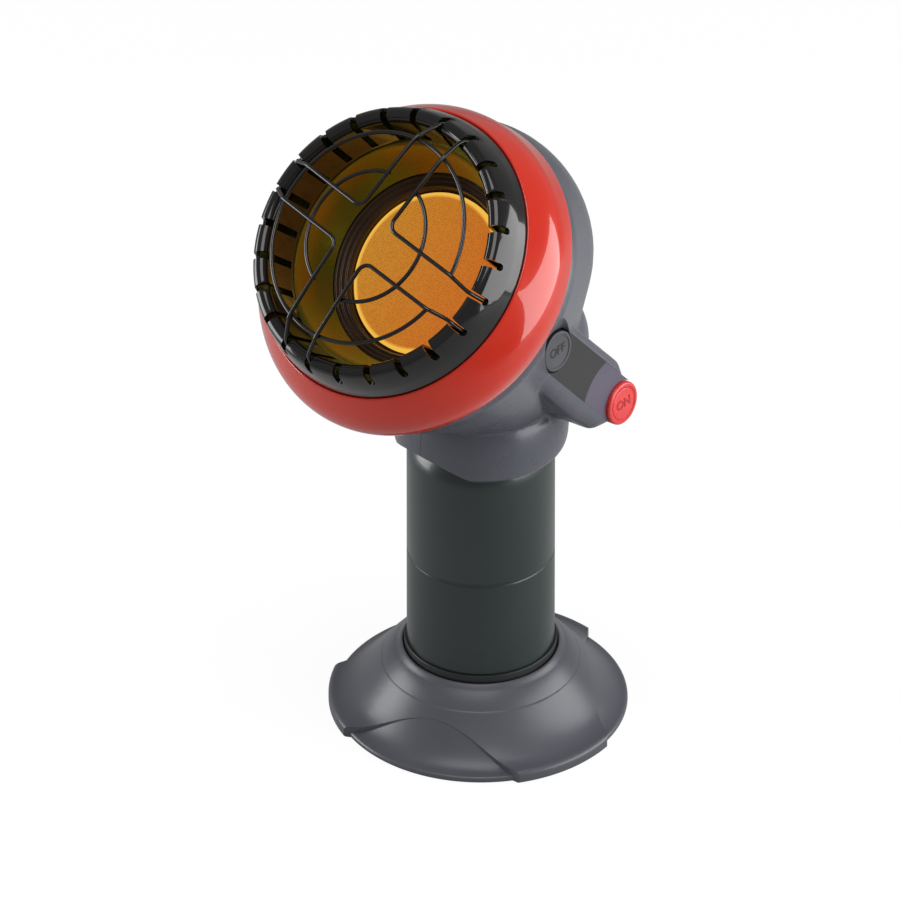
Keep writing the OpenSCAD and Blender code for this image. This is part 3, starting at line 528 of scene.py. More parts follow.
@dataclass(frozen=True)
class GlowingTile(Finish):
    """Porous ceramic that glows from inside, brighter round its edge, with dark pinholes."""

    hole_scale: float = 620.0
    radius: float = 0.0554

    def extra(self, tree: bpy.types.NodeTree, shader: bpy.types.Node, varied: bpy.types.Node) -> None:
        """Add the pinholes and the glow."""
        nodes, links = tree.nodes, tree.links
        where = nodes.new("ShaderNodeTexCoord")
        turned = nodes.new("ShaderNodeMapping")
        turned.inputs["Location"].default_value = (0, 0, -HEAD_PIVOT_Z)
        turned.vector_type = "POINT"
        links.new(where.outputs["Object"], turned.inputs["Vector"])
        level = nodes.new("ShaderNodeMapping")
        level.inputs["Rotation"].default_value = (-HEAD_TILT, 0, 0)
        links.new(turned.outputs["Vector"], level.inputs["Vector"])
        flat = nodes.new("ShaderNodeVectorMath")
        flat.operation = "MULTIPLY"
        flat.inputs[1].default_value = (1, 1, 0)
        links.new(level.outputs["Vector"], flat.inputs[0])
        reach = nodes.new("ShaderNodeVectorMath")
        reach.operation = "LENGTH"
        links.new(flat.outputs["Vector"], reach.inputs[0])
        rim = nodes.new("ShaderNodeMapRange")
        rim.interpolation_type = "SMOOTHSTEP"
        rim.inputs["From Min"].default_value = self.radius * 0.925
        rim.inputs["From Max"].default_value = self.radius * 0.975
        links.new(reach.outputs["Value"], rim.inputs["Value"])
        side = nodes.new("ShaderNodeSeparateXYZ")
        links.new(level.outputs["Vector"], side.inputs["Vector"])
        across = nodes.new("ShaderNodeMapRange")
        across.inputs["From Min"].default_value = -self.radius
        across.inputs["From Max"].default_value = self.radius
        links.new(side.outputs["X"], across.inputs["Value"])
        body = Shader.blended(tree, across.outputs["Result"], linear(196, 134, 38), linear(198, 100, 18))
        holes = nodes.new("ShaderNodeTexVoronoi")
        holes.inputs["Scale"].default_value = self.hole_scale
        holes.inputs["Randomness"].default_value = 0.35
        links.new(flat.outputs["Vector"], holes.inputs["Vector"])
        pin = nodes.new("ShaderNodeMapRange")
        pin.interpolation_type = "SMOOTHSTEP"
        pin.inputs["From Min"].default_value = 0.16
        pin.inputs["From Max"].default_value = 0.42
        pin.inputs["To Min"].default_value = 0.4
        links.new(holes.outputs["Distance"], pin.inputs["Value"])
        pitted = nodes.new("ShaderNodeMix")
        pitted.data_type = "RGBA"
        pitted.inputs[6].default_value = (*linear(150, 68, 12), 1)
        links.new(body, pitted.inputs[7])
        links.new(pin.outputs["Result"], pitted.inputs[0])
        edged = nodes.new("ShaderNodeMix")
        edged.data_type = "RGBA"
        edged.inputs[7].default_value = (*linear(246, 190, 74), 1)
        links.new(pitted.outputs[2], edged.inputs[6])
        links.new(rim.outputs["Result"], edged.inputs[0])
        links.remove(shader.inputs["Base Color"].links[0])
        shader.inputs["Base Color"].default_value = (*linear(60, 30, 12), 1)
        links.new(edged.outputs[2], shader.inputs["Emission Color"])
        shader.inputs["Emission Strength"].default_value = 0.95
        bump = nodes.new("ShaderNodeBump")
        bump.inputs["Distance"].default_value = 0.0006
        links.new(pin.outputs["Result"], bump.inputs["Height"])
        links.new(bump.outputs["Normal"], shader.inputs["Normal"])


@dataclass(frozen=True)
class TemperedSteel(Finish):
    """Polished sheet that the heat has tinted in olive and straw."""

    def extra(self, tree: bpy.types.NodeTree, shader: bpy.types.Node, varied: bpy.types.Node) -> None:
        """Add the tempering colours in soft bands."""
        nodes, links = tree.nodes, tree.links
        where = nodes.new("ShaderNodeTexCoord")
        cloud = nodes.new("ShaderNodeTexNoise")
        cloud.inputs["Scale"].default_value = 9.0
        cloud.inputs["Detail"].default_value = 2
        links.new(where.outputs["Object"], cloud.inputs["Vector"])
        bands = nodes.new("ShaderNodeValToRGB")
        ramp = bands.color_ramp
        ramp.elements[0].position, ramp.elements[0].color = 0.36, (*linear(128, 100, 34), 1)
        ramp.elements[1].position, ramp.elements[1].color = 0.64, (*linear(150, 122, 46), 1)
        middle = ramp.elements.new(0.5)
        middle.color = (*linear(116, 120, 40), 1)
        links.new(cloud.outputs["Fac"], bands.inputs["Fac"])
        links.new(bands.outputs["Color"], shader.inputs["Base Color"])


class Finishes:
    """Every finish of the heater."""

    MOULDED_GREY = Finish("moulded_grey", "housing_grey", linear(86, 88, 97), linear(78, 80, 89), (0.24, 0.32),
                          grain_scale=2200, drift_scale=14, bump=0.00003, specular=0.5)
    FOOT_GREY = Finish("foot_grey", "foot_grey", linear(82, 84, 91), linear(74, 76, 83), (0.28, 0.38),
                       grain_scale=2200, drift_scale=12, bump=0.00003, specular=0.5)
    GLOSS_RED = Finish("gloss_red", "ring_red", linear(208, 42, 14), linear(196, 35, 11), (0.22, 0.28),
                       grain_scale=500, drift_scale=10, bump=0.00001, coat=0.9, coat_roughness=0.03, specular=0.2)
    GLOSS_BLACK = Finish("gloss_black", "rim_black", linear(20, 17, 16), linear(14, 12, 11), (0.12, 0.2),
                         grain_scale=600, drift_scale=14, bump=0.000015, coat=0.7, coat_roughness=0.03, specular=0.15)
    GUARD_BLACK = Finish("guard_black", "guard_black", linear(14, 12, 11), linear(9, 8, 8), (0.2, 0.32),
                         grain_scale=1600, drift_scale=30, bump=0.00003, coat=0.5, coat_roughness=0.08, specular=0.25)
    TANK_GREEN = Finish("tank_green", "tank_green", linear(22, 38, 37), linear(17, 32, 31), (0.30, 0.40),
                        grain_scale=900, drift_scale=12, bump=0.00003, coat=0.3, coat_roughness=0.12)
    BOOT_BLACK = Finish("boot_black", "boot_black", linear(20, 23, 25), linear(15, 17, 19), (0.35, 0.5),
                        grain_scale=1800, drift_scale=20, bump=0.00004)
    BOWL_STEEL = TemperedSteel("bowl_steel", "reflector_steel", linear(150, 130, 46), linear(130, 112, 36), (0.22, 0.34),
                               metallic=0.8, grain_scale=900, drift_scale=16, bump=0.00002)
    RIM_DARK = Finish("rim_dark", "rim_dark", linear(74, 57, 45), linear(50, 39, 32), (0.3, 0.45), metallic=0.6,
                      grain_scale=1400, drift_scale=30, bump=0.00005)
    TILE = GlowingTile("glowing_tile", "tile_ceramic", linear(214, 140, 24), linear(196, 100, 24), (0.8, 0.95))
    BRASS = Finish("turned_brass", "brass", linear(190, 160, 96), linear(160, 130, 74), (0.22, 0.36), metallic=1.0,
                   grain_scale=2600, drift_scale=40, bump=0.00002)
    COPPER = Finish("drawn_copper", "copper_tube", linear(190, 120, 86), linear(150, 92, 66), (0.25, 0.4),
                    metallic=1.0, grain_scale=2600, drift_scale=50, bump=0.00002)
    CAST = Finish("cast_alloy", "cast_alloy", linear(178, 178, 174), linear(150, 150, 148), (0.4, 0.55), metallic=1.0,
                  grain_scale=1200, drift_scale=40, bump=0.00008)
    PLATED = Finish("plated_steel", "plated_steel", linear(160, 162, 166), linear(130, 133, 138), (0.28, 0.42),
                    metallic=1.0, grain_scale=1500, drift_scale=40, bump=0.00003)
    SCREW = Finish("black_zinc", "screw_steel", linear(80, 80, 84), linear(56, 56, 60), (0.3, 0.42), metallic=1.0,
                   grain_scale=2600, drift_scale=60, bump=0.00003)
    RUBBER = Finish("seal_rubber", "seal_rubber", linear(24, 24, 24), linear(16, 16, 16), (0.55, 0.7),
                    grain_scale=2600, drift_scale=60, bump=0.00005)
    CHARRED = Finish("charred_fibre", "gasket_fibre", linear(60, 46, 36), linear(42, 32, 26), (0.8, 0.95),
                     grain_scale=900, drift_scale=60, bump=0.0003, specular=0.2)
    SWITCH = Finish("switch_black", "switch_black", linear(36, 36, 38), linear(26, 26, 28), (0.35, 0.5),
                    grain_scale=2200, drift_scale=60, bump=0.00004)
    GLAZE = Finish("glazed_ceramic", "igniter_ceramic", linear(236, 234, 226), linear(216, 212, 202), (0.15, 0.28),
                   grain_scale=900, drift_scale=60, bump=0.00003, coat=0.5)
    LEAD_RED = Finish("lead_sleeve", "lead_red", linear(170, 32, 26), linear(140, 24, 20), (0.4, 0.55),
                      grain_scale=2200, drift_scale=60, bump=0.00004)
    LABEL_DARK = Finish("label_film", "label_dark", linear(34, 33, 35), linear(28, 27, 29), (0.42, 0.5),
                        grain_scale=3000, drift_scale=30, bump=0.00001)
    LABEL_GREY = Finish("label_film_pale", "label_dark", linear(86, 80, 97), linear(78, 72, 88), (0.34, 0.44),
                        grain_scale=3000, drift_scale=30, bump=0.00001)
    BUTTON_GREY = Finish("button_grey", "button_grey", linear(74, 75, 80), linear(64, 65, 70), (0.32, 0.42),
                         grain_scale=2400, drift_scale=50, bump=0.00003)
    BUTTON_RED = Finish("button_red", "button_red", linear(222, 58, 58), linear(204, 44, 46), (0.26, 0.36),
                        grain_scale=2400, drift_scale=50, bump=0.00003, coat=0.4, coat_roughness=0.1)
    # Painted shade: the near-black letters stand in for the shadow inside the stop button's sunk lettering.
    LETTER_PAINTED_SHADE = Finish("letter_painted_shade", "button_grey", linear(18, 18, 19), linear(13, 13, 14), (0.4, 0.5),
                         grain_scale=2400, drift_scale=50, bump=0.00002)
    # Painted shade: the darker red of the start button's letters stands in for the shade round its moulded lettering.
    LETTER_RED_PAINTED_SHADE = Finish("letter_red_painted_shade", "button_red", linear(176, 30, 32), linear(160, 24, 28), (0.35, 0.45),
                        grain_scale=2400, drift_scale=50, bump=0.00002)
    SPRING = Finish("spring_steel", "spring_steel", linear(186, 186, 190), linear(150, 150, 156), (0.18, 0.3),
                    metallic=1.0, grain_scale=2600, drift_scale=60, bump=0.00002)


def carry(piece: bpy.types.Object, body: Body, finish: Finish, *nodes: str) -> bpy.types.Object:
    """Dress a piece, let it stand for CAD nodes and let it ride on its body.

    Args:
        piece: The piece.
        body: The body that it rides on.
        finish: Its finish.
        *nodes: The CAD nodes that it stands for.

    Returns:
        The same piece.
    """
    finish.dress(piece)
    if nodes:
        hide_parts(*nodes)
    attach(piece, body.value)
    log.info("%s rides on %s, %d faces", piece.name, body.value, len(piece.data.polygons))
    return piece


@dataclass
class Foot:
    """The bell-shaped foot with three raised legs."""

    leg_r: float = 0.10147
    panel_r: float = 0.098
    rim_h: float = 0.004
    lip_z: float = 0.0484
    bell_start: float = 0.047
    socket_r: float = 0.0515
    socket_z: float = 0.030
    wall: float = 0.003
    leg_step: float = 0.0046
    panel_edge: float = 0.0715
    panel_bend: float = 0.300
    panel_dir: float = -71.0
    leg_from: float = 0.0638
    lip_round: float = 0.0045

    def bell(self, radius: float) -> float:
        """Height of the bell at a radius."""
        share = (min(radius, self.panel_r) - self.bell_start) / (self.panel_r - self.bell_start)
        return self.rim_h + (self.lip_z - self.rim_h) * (1 + math.cos(math.pi * share)) / 2

    def leg(self, radius: float) -> float:
        """Height of a leg at a radius."""
        share = min(1.0, max(0.0, (radius - self.leg_from) / (self.panel_r - self.leg_from)))
        return self.bell(radius) + self.leg_step * share**2 * (3 - 2 * share)

    def spread(self, start: float, end: float, count: int, height: Callable[[float], float]) -> list[Point2]:
        """Profile points from one radius to another."""
        radii = [start + (end - start) * i / count for i in range(count + 1)]
        return [(r, height(r)) for r in radii]

    def shell(self) -> bpy.types.Object:
        """Model the foot's outside, with legs and sunk panels.

        Returns:
            The solid foot.
        """
        lip_in = self.socket_r + self.lip_round
        lip = flowing([(self.socket_r, self.lip_z - 0.0008), (self.socket_r + 0.0006, self.lip_z - 0.0001),
                       (self.socket_r + 0.0018, self.lip_z - 0.0005), (lip_in, self.bell(lip_in))], 4)
        bell = Bench.turned("foot_bell", [
            (0, 0), (self.panel_r - 0.0008, 0), (self.panel_r, 0.0008),
            *arc((self.panel_r - 0.0026, self.rim_h - 0.0024), 0.0026, 0, 75, 8),
            *reversed(self.spread(lip_in, self.panel_r - 0.0036, 40, self.bell)), *reversed(lip[:-1]),
            (self.socket_r, self.socket_z), (0, self.socket_z)], 192)
        legs = Bench.turned("foot_legs", [
            (self.leg_from, 0), (self.leg_r - 0.0008, 0), (self.leg_r, 0.0008),
            *arc((self.leg_r - 0.0036, self.rim_h + self.leg_step - 0.0036), 0.0036, 0, 84, 8),
            *reversed(self.spread(self.leg_from + 0.002, self.panel_r - 0.0016, 32, self.leg)),
            (self.leg_from, self.bell(self.leg_from) - 0.0015)], 192, closed=True)
        for third in range(3):
            turn = Matrix.Rotation(math.radians(self.panel_dir + 120 * third), 4, "Z")
            Bench.cut(legs, Bench.drum("panel_cutter", self.panel_bend, 0.08, turn @ Matrix.Translation(
                (self.panel_edge + self.panel_bend, 0, -0.02)), 720))
        return Bench.cut(bell, legs, "UNION")

    def underside(self) -> bpy.types.Object:
        """Model the tool that hollows the foot and leaves its ribs.

        Returns:
            The tool.
        """
        under = self.wall
        r_in, r_out = self.socket_r + under, self.panel_r - under
        low = -0.001

        def roof(radius: float) -> float:
            """Height of the hollow at a radius."""
            return min(self.bell(radius) - under, self.lip_z - 2 * under)

        tool = Bench.turned("foot_hollow", [
            (0, low), (r_out, low), *reversed(self.spread(r_in, r_out, 24, roof)),
            (r_in, self.socket_z - under), (0, self.socket_z - under)], 144)
        for i in range(6):
            turn = Matrix.Rotation(math.radians(self.panel_dir + 30 + 60 * i), 4, "Z")
            Bench.cut(tool, Bench.block("rib", (-0.001, -0.0015, -0.002), (self.leg_r, 0.0015, 0.05), turn))
        return Bench.cut(tool, Bench.drum("hub", 0.012, 0.06, Matrix.Translation((0, 0, -0.003)), 64))

    def build(self) -> None:
        """Model and dress the foot."""
        foot = Bench.cut(self.shell(), self.underside())
        Bench.soften(foot, 0.0006, 2, 28)
        Bench.smooth(foot, 30)
        foot.name = "foot_shell"
        carry(foot, Body.FOOT, Finishes.FOOT_GREY, "base_foot")


@dataclass
class FuelCylinder:
    """The green fuel cylinder in its black boot, with its outlet."""

    radius: float = 0.04925
    bottom_z: float = 0.03235
    shoulder_z: float = 0.2005
    dome_h: float = 0.031
    neck_r: float = 0.015
    weld_z: float = 0.125
    boot_r: float = 0.051
    boot_top: float = 0.0535
    boot_floor: float = 0.0303

    def vessel(self) -> bpy.types.Object:
        """Model the pressed cylinder with its girth weld and domed shoulder.

        Returns:
            The cylinder.
        """
        r, limit = self.radius, math.acos(self.neck_r / self.radius)
        dome = [(r * math.cos(limit * i / 28), self.shoulder_z + self.dome_h * math.sin(limit * i / 28)
                 / math.sin(limit)) for i in range(29)]
        weld = [(r - 0.0005 * (1 + math.cos(math.pi * i / 4)) / 2 if abs(i) < 5 else r,
                 self.weld_z + 0.0016 * i / 4) for i in range(-4, 5)]
        return Bench.turned("fuel_vessel", [
            (0, self.bottom_z), *arc((r - 0.005, self.bottom_z + 0.005), 0.005, -90, 0, 8),
            *weld, *dome, (0, self.shoulder_z + self.dome_h)], 192)

    def boot(self) -> bpy.types.Object:
        """Model the boot round the cylinder's bottom.

        Returns:
            The boot.
        """
        inner = self.radius + 0.0001
        return Bench.turned("cylinder_boot", [
            (0, self.boot_floor), *arc((self.boot_r - 0.002, self.boot_floor + 0.002), 0.002, -90, 0, 5),
            *arc((self.boot_r - 0.0007, self.boot_top - 0.0007), 0.0007, 0, 90, 4),
            (inner, self.boot_top), (inner, self.boot_floor + 0.0017), (0, self.boot_floor + 0.0017)], 160)

    def build(self) -> None:
        """Model and dress the cylinder, and dress its fittings."""
        carry(Bench.smooth(self.vessel(), 40), Body.CYLINDER, Finishes.TANK_GREEN, "fuel_cylinder")
        carry(Bench.smooth(self.boot(), 40), Body.CYLINDER, Finishes.BOOT_BLACK, "foot_boot")
        for node in ("outlet_valve", "valve_core", "relief_valve"):
            Finishes.BRASS.dress_node(node)


@dataclass
class PaintedRing:
    """The red ring round the head."""

    open_r: float = 0.0996
    wide_r: float = 0.113
    wide_t: float = 0.027
    rear_r: float = 0.1098
    depth: float = 0.043
    sag: float = 0.0038
    wall: float = 0.0024

    def radius_at(self, t: float) -> float:
        """Outer radius at a distance behind the front edge."""
        if t < self.wide_t:
            start = self.open_r + 0.0012
            return start + (self.wide_r - start) * math.sin(math.pi / 2 * t / self.wide_t)
        share = (t - self.wide_t) / (self.depth - self.wide_t)
        return self.rear_r + (self.wide_r - self.rear_r) * math.cos(math.pi / 2 * share)

    def sag_at(self, t: float) -> float:
        """How far the ring sags at a distance behind the front edge."""
        share = t / self.wide_t if t < self.wide_t else 1 - (t - self.wide_t) / (self.depth - self.wide_t)
        return self.sag * math.sin(math.pi / 2 * max(0.0, min(1.0, share)))

    def build(self) -> None:
        """Model and dress the ring."""
        stations = [self.depth * i / 36 for i in range(37)]
        outer = [(self.radius_at(t), FACE_T - t) for t in stations]
        inner = [(max(self.open_r, self.radius_at(t) - self.wall), FACE_T - t) for t in stations]
        ring = Bench.turned("painted_ring", [*outer, *reversed(inner)], 192, closed=True)
        for vertex in ring.data.vertices:
            vertex.co.y -= self.sag_at(FACE_T - vertex.co.z)
        Bench.settle(ring, HEAD_PLACE)
        Bench.soften(ring, 0.0004, 2, 40)
        carry(Bench.smooth(ring, 35), Body.HEAD, Finishes.GLOSS_RED, "front_ring")


@dataclass
class SlottedRim:
    """The black rim with its rolled bead and 24 slots."""

    outer_r: float = 0.09945
    inner_r: float = 0.079
    rise: float = 0.0265
    bead_mid: float = 0.0886
    bead_r: float = 0.0055
    wall: float = 0.0022
    slots: int = 24
    slot_w: float = 0.005
    slot_end: float = 0.016

    def section(self, inset: float) -> list[Point2]:
        """Outline of the rim's section, from the inner skin round the bead to the outer skin.

        Args:
            inset: How far the outline lies inside the outside.

        Returns:
            The outline's points.
        """
        back = FACE_T - 0.004
        bead = arc((self.bead_mid, FACE_T + self.rise - self.bead_r), self.bead_r - inset, 190, 30, 18)
        skin = flowing([(self.outer_r - 0.0019 - inset, FACE_T + 0.0105), (self.outer_r - inset, FACE_T)], 4)
        return [(self.inner_r + inset, back), (self.inner_r + 0.0003 + inset, FACE_T), *bead, *skin,
                (self.outer_r - inset, back)]

    def slot_tool(self, turn: float) -> list[bpy.types.Object]:
        """Model the tools of one slot.

        Args:
            turn: The slot's direction round the rim, in radians.

        Returns:
            The tools.
        """
        place = Matrix.Rotation(turn, 4, "Z") @ Matrix.Translation((0, 0, FACE_T))
        half, end = self.slot_w / 2, self.slot_end + self.slot_w / 2
        across = place @ Matrix.Translation((self.bead_mid - 0.0005, 0, end)) @ Matrix.Rotation(math.pi / 2, 4, "Y")
        return [
            Bench.block("slot_inner", (self.inner_r - 0.003, -half, -0.002), (self.bead_mid + 0.001, half, 0.04), place),
            Bench.block("slot_outer", (self.bead_mid - 0.0005, -half, end), (self.bead_mid + 0.0135, half, 0.04), place),
            Bench.drum("slot_end", half, 0.014, across, 32),
        ]

    def build(self) -> None:
        """Model and dress the rim."""
        rim = Bench.turned("slotted_rim_shell", [*self.section(0), *reversed(self.section(self.wall))], 240, closed=True)
        for kind in range(3):
            tools = [self.slot_tool(math.tau * i / self.slots) for i in range(self.slots)]
            chosen = [tool[kind] for tool in tools]
            for tool in tools:
                for k, spare in enumerate(tool):
                    if k != kind:
                        bpy.data.objects.remove(spare, do_unlink=True)
            Bench.cut(rim, Bench.joined(chosen, "slot_tools"))
        Bench.settle(rim, HEAD_PLACE)
        Bench.soften(rim, 0.0005, 2, 45)
        carry(Bench.smooth(rim, 35), Body.HEAD, Finishes.GLOSS_BLACK, "slotted_rim")


@dataclass
class WireGuard:
    """The wire guard: four bent wires under two rings."""

    wire_r: float = 0.0014
    middle_t: float = 0.0426
    outer_r: float = 0.0725
    inner_r: float = 0.045
    half: float = 0.0135
    bend: float = 0.007
    roll: float = -7.5
    over_r: float = 0.0842
    over_t: float = 0.0307
    skin_r: float = 0.09014
    skin_t: float = 0.021
    foot_r: float = 0.09343
    foot_t: float = 0.0105

    def height(self, radius: float) -> float:
        """Distance of the guard along the head's axis at a radius."""
        return FACE_T + self.middle_t - 0.0047 * (radius / self.outer_r) ** 2

    def slot_point(self, radius: float, t: float, aside: float = 0.0) -> Point3:
        """Point in the middle of a slot, in front of the painted ring by t."""
        turn = math.radians(-self.roll)
        return radius * math.cos(turn), radius * math.sin(turn) + aside, FACE_T + t

    def corner(self, quarter: int) -> bpy.types.Object:
        """Model one bent wire.

        Args:
            quarter: Which of the four wires.

        Returns:
            The wire in the head's frame.
        """
        x0, h = self.half + self.bend, self.half
        leg = flowing([
            (x0 + 0.00001, h, self.height(x0)), ((x0 + self.outer_r) / 2, h, self.height((x0 + self.outer_r) / 2)),
            (self.outer_r - 0.006, h, self.height(self.outer_r - 0.006)),
            (self.outer_r, h - 0.0001, self.height(self.outer_r) - 0.0003),
            (self.outer_r + 0.003, h - 0.0006, self.height(self.outer_r) - 0.0022),
            self.slot_point(self.over_r, self.over_t, 0.0006), self.slot_point(self.over_r + 0.0034, self.over_t - 0.0032),
            self.slot_point(self.skin_r, self.skin_t), self.slot_point(self.foot_r, self.foot_t)], 6)
        bend = [(x0 + self.bend * math.cos(a), x0 + self.bend * math.sin(a), self.height(x0))
                for a in (math.radians(270 - 90 * i / 12) for i in range(1, 12))]
        points = [*reversed(leg), *bend, *((y, x, z) for x, y, z in leg)]
        wire = Bench.wire(f"guard_wire_{quarter}", points, self.wire_r)
        return Bench.settle(wire, HEAD_PLACE @ Matrix.Rotation(math.radians(self.roll + 90 * quarter), 4, "Z"))

    def ring(self, name: str, radius: float, start: float, end: float) -> bpy.types.Object:
        """Model one arc of a ring.

        Args:
            name: Name of the arc.
            radius: Radius of its middle.
            start: Start angle in degrees.
            end: End angle in degrees.

        Returns:
            The arc in the head's frame.
        """
        z = self.height(radius) - self.wire_r * 1.6
        turn = [math.radians(start + (end - start) * i / 160) for i in range(161)]
        arc_piece = Bench.wire(name, [(radius * math.cos(a), radius * math.sin(a), z) for a in turn], self.wire_r)
        return Bench.settle(arc_piece, HEAD_PLACE @ Matrix.Rotation(math.radians(self.roll), 4, "Z"))

    def build(self) -> None:
        """Model and dress the guard."""
        outer_gap = math.degrees(math.asin(self.half / self.outer_r))
        inner_gap = math.degrees(math.asin(self.half / self.inner_r))
        arcs = [
            self.ring("guard_ring_outer", self.outer_r, outer_gap, 360 - outer_gap),
            self.ring("guard_ring_inner_a", self.inner_r, -90 + inner_gap, 90 - inner_gap),
            self.ring("guard_ring_inner_b", self.inner_r, 90 + inner_gap, 270 - inner_gap),
        ]
        wires = [self.corner(q) for q in range(4)]
        carry(arcs[0], Body.HEAD, Finishes.GUARD_BLACK, "wire_guard")
        for piece in [*arcs[1:], *wires]:
            carry(piece, Body.HEAD, Finishes.GUARD_BLACK)


@dataclass
class Burner:
    """The bowl, the ribbed rim and the glowing tile."""

    rim_r: float = 0.067
    rim_in_r: float = 0.0575
    inner_skin: float = 0.079
    flange_r: float = 0.0992
    tile_r: float = 0.0526
    tile_face_r: float = 0.0554
    tile_t: float = 0.043
    tile_thick: float = 0.013
    sheet: float = 0.001

    def bowl(self) -> bpy.types.Object:
        """Model the reflector bowl.

        Returns:
            The bowl in the head's frame.
        """
        front = [(self.rim_r - 0.0005 + (self.inner_skin - self.rim_r - 0.0005) * math.cos(math.pi / 2 * i / 24),
                  FACE_T - 0.005 - (self.tile_t - 0.0125) * i / 24) for i in range(25)]
        back = [(r + self.sheet, z - self.sheet) for r, z in front]
        bowl = Bench.turned("reflector_bowl", [
            (self.flange_r, FACE_T - 0.005), *front, *reversed(back),
            (self.flange_r, FACE_T - 0.005 - self.sheet)], 192, closed=True)
        return Bench.settle(bowl, HEAD_PLACE)

    def ribbed_rim(self) -> bpy.types.Object:
        """Model the dark rim with its rolled ribs.

        Returns:
            The rim in the head's frame.
        """
        span, drop = self.rim_r - 0.001 - self.rim_in_r, 0.006
        front_t = FACE_T - 0.005 - (self.tile_t - 0.0125) - 0.001
        back_t = FACE_T - self.tile_t - self.tile_thick + 0.003
        ribs = [(self.rim_r - 0.001 - span * u, front_t - drop * u + 0.0013 * math.sin(math.pi * 3 * u) ** 2)
                for u in (i / 36 for i in range(37))]
        rim = Bench.turned("burner_rim_ring", [
            (self.rim_r - 0.001, front_t - 0.0025), *ribs, (self.rim_in_r, back_t), (self.rim_in_r + 0.0016, back_t),
            (self.rim_in_r + 0.0016, front_t - drop - 0.003)], 192, closed=True)
        return Bench.settle(rim, HEAD_PLACE)

    def tile(self) -> bpy.types.Object:
        """Model the ceramic tile with its rounded edge.

        Returns:
            The tile in the head's frame.
        """
        face, back = FACE_T - self.tile_t, FACE_T - self.tile_t - self.tile_thick
        tile = Bench.turned("glowing_tile_disc", [
            (0, back), (self.tile_r, back), (self.tile_r, face - 0.0052), (self.tile_face_r, face - 0.0046),
            *arc((self.tile_face_r - 0.0012, face - 0.0012), 0.0012, 0, 90, 6), (0, face)], 144)
        return Bench.settle(tile, HEAD_PLACE)

    def build(self) -> None:
        """Model and dress the burner, and dress what lies behind it."""
        carry(Bench.smooth(self.bowl()), Body.HEAD, Finishes.BOWL_STEEL, "reflector")
        carry(Bench.smooth(self.ribbed_rim()), Body.HEAD, Finishes.RIM_DARK, "burner_rim")
        carry(Bench.smooth(self.tile()), Body.HEAD, Finishes.TILE, "ceramic_tile")
        for node, finish in {
            "tile_gasket": Finishes.CHARRED, "plenum": Finishes.PLATED, "mixing_tube": Finishes.PLATED,
            "injector": Finishes.BRASS, "pilot_bracket": Finishes.PLATED, "pilot_burner": Finishes.BRASS,
            "thermocouple": Finishes.COPPER, "igniter_electrode": Finishes.GLAZE,
            "thermocouple_lead": Finishes.COPPER, "igniter_lead": Finishes.LEAD_RED,
        }.items():
            finish.dress_node(node)


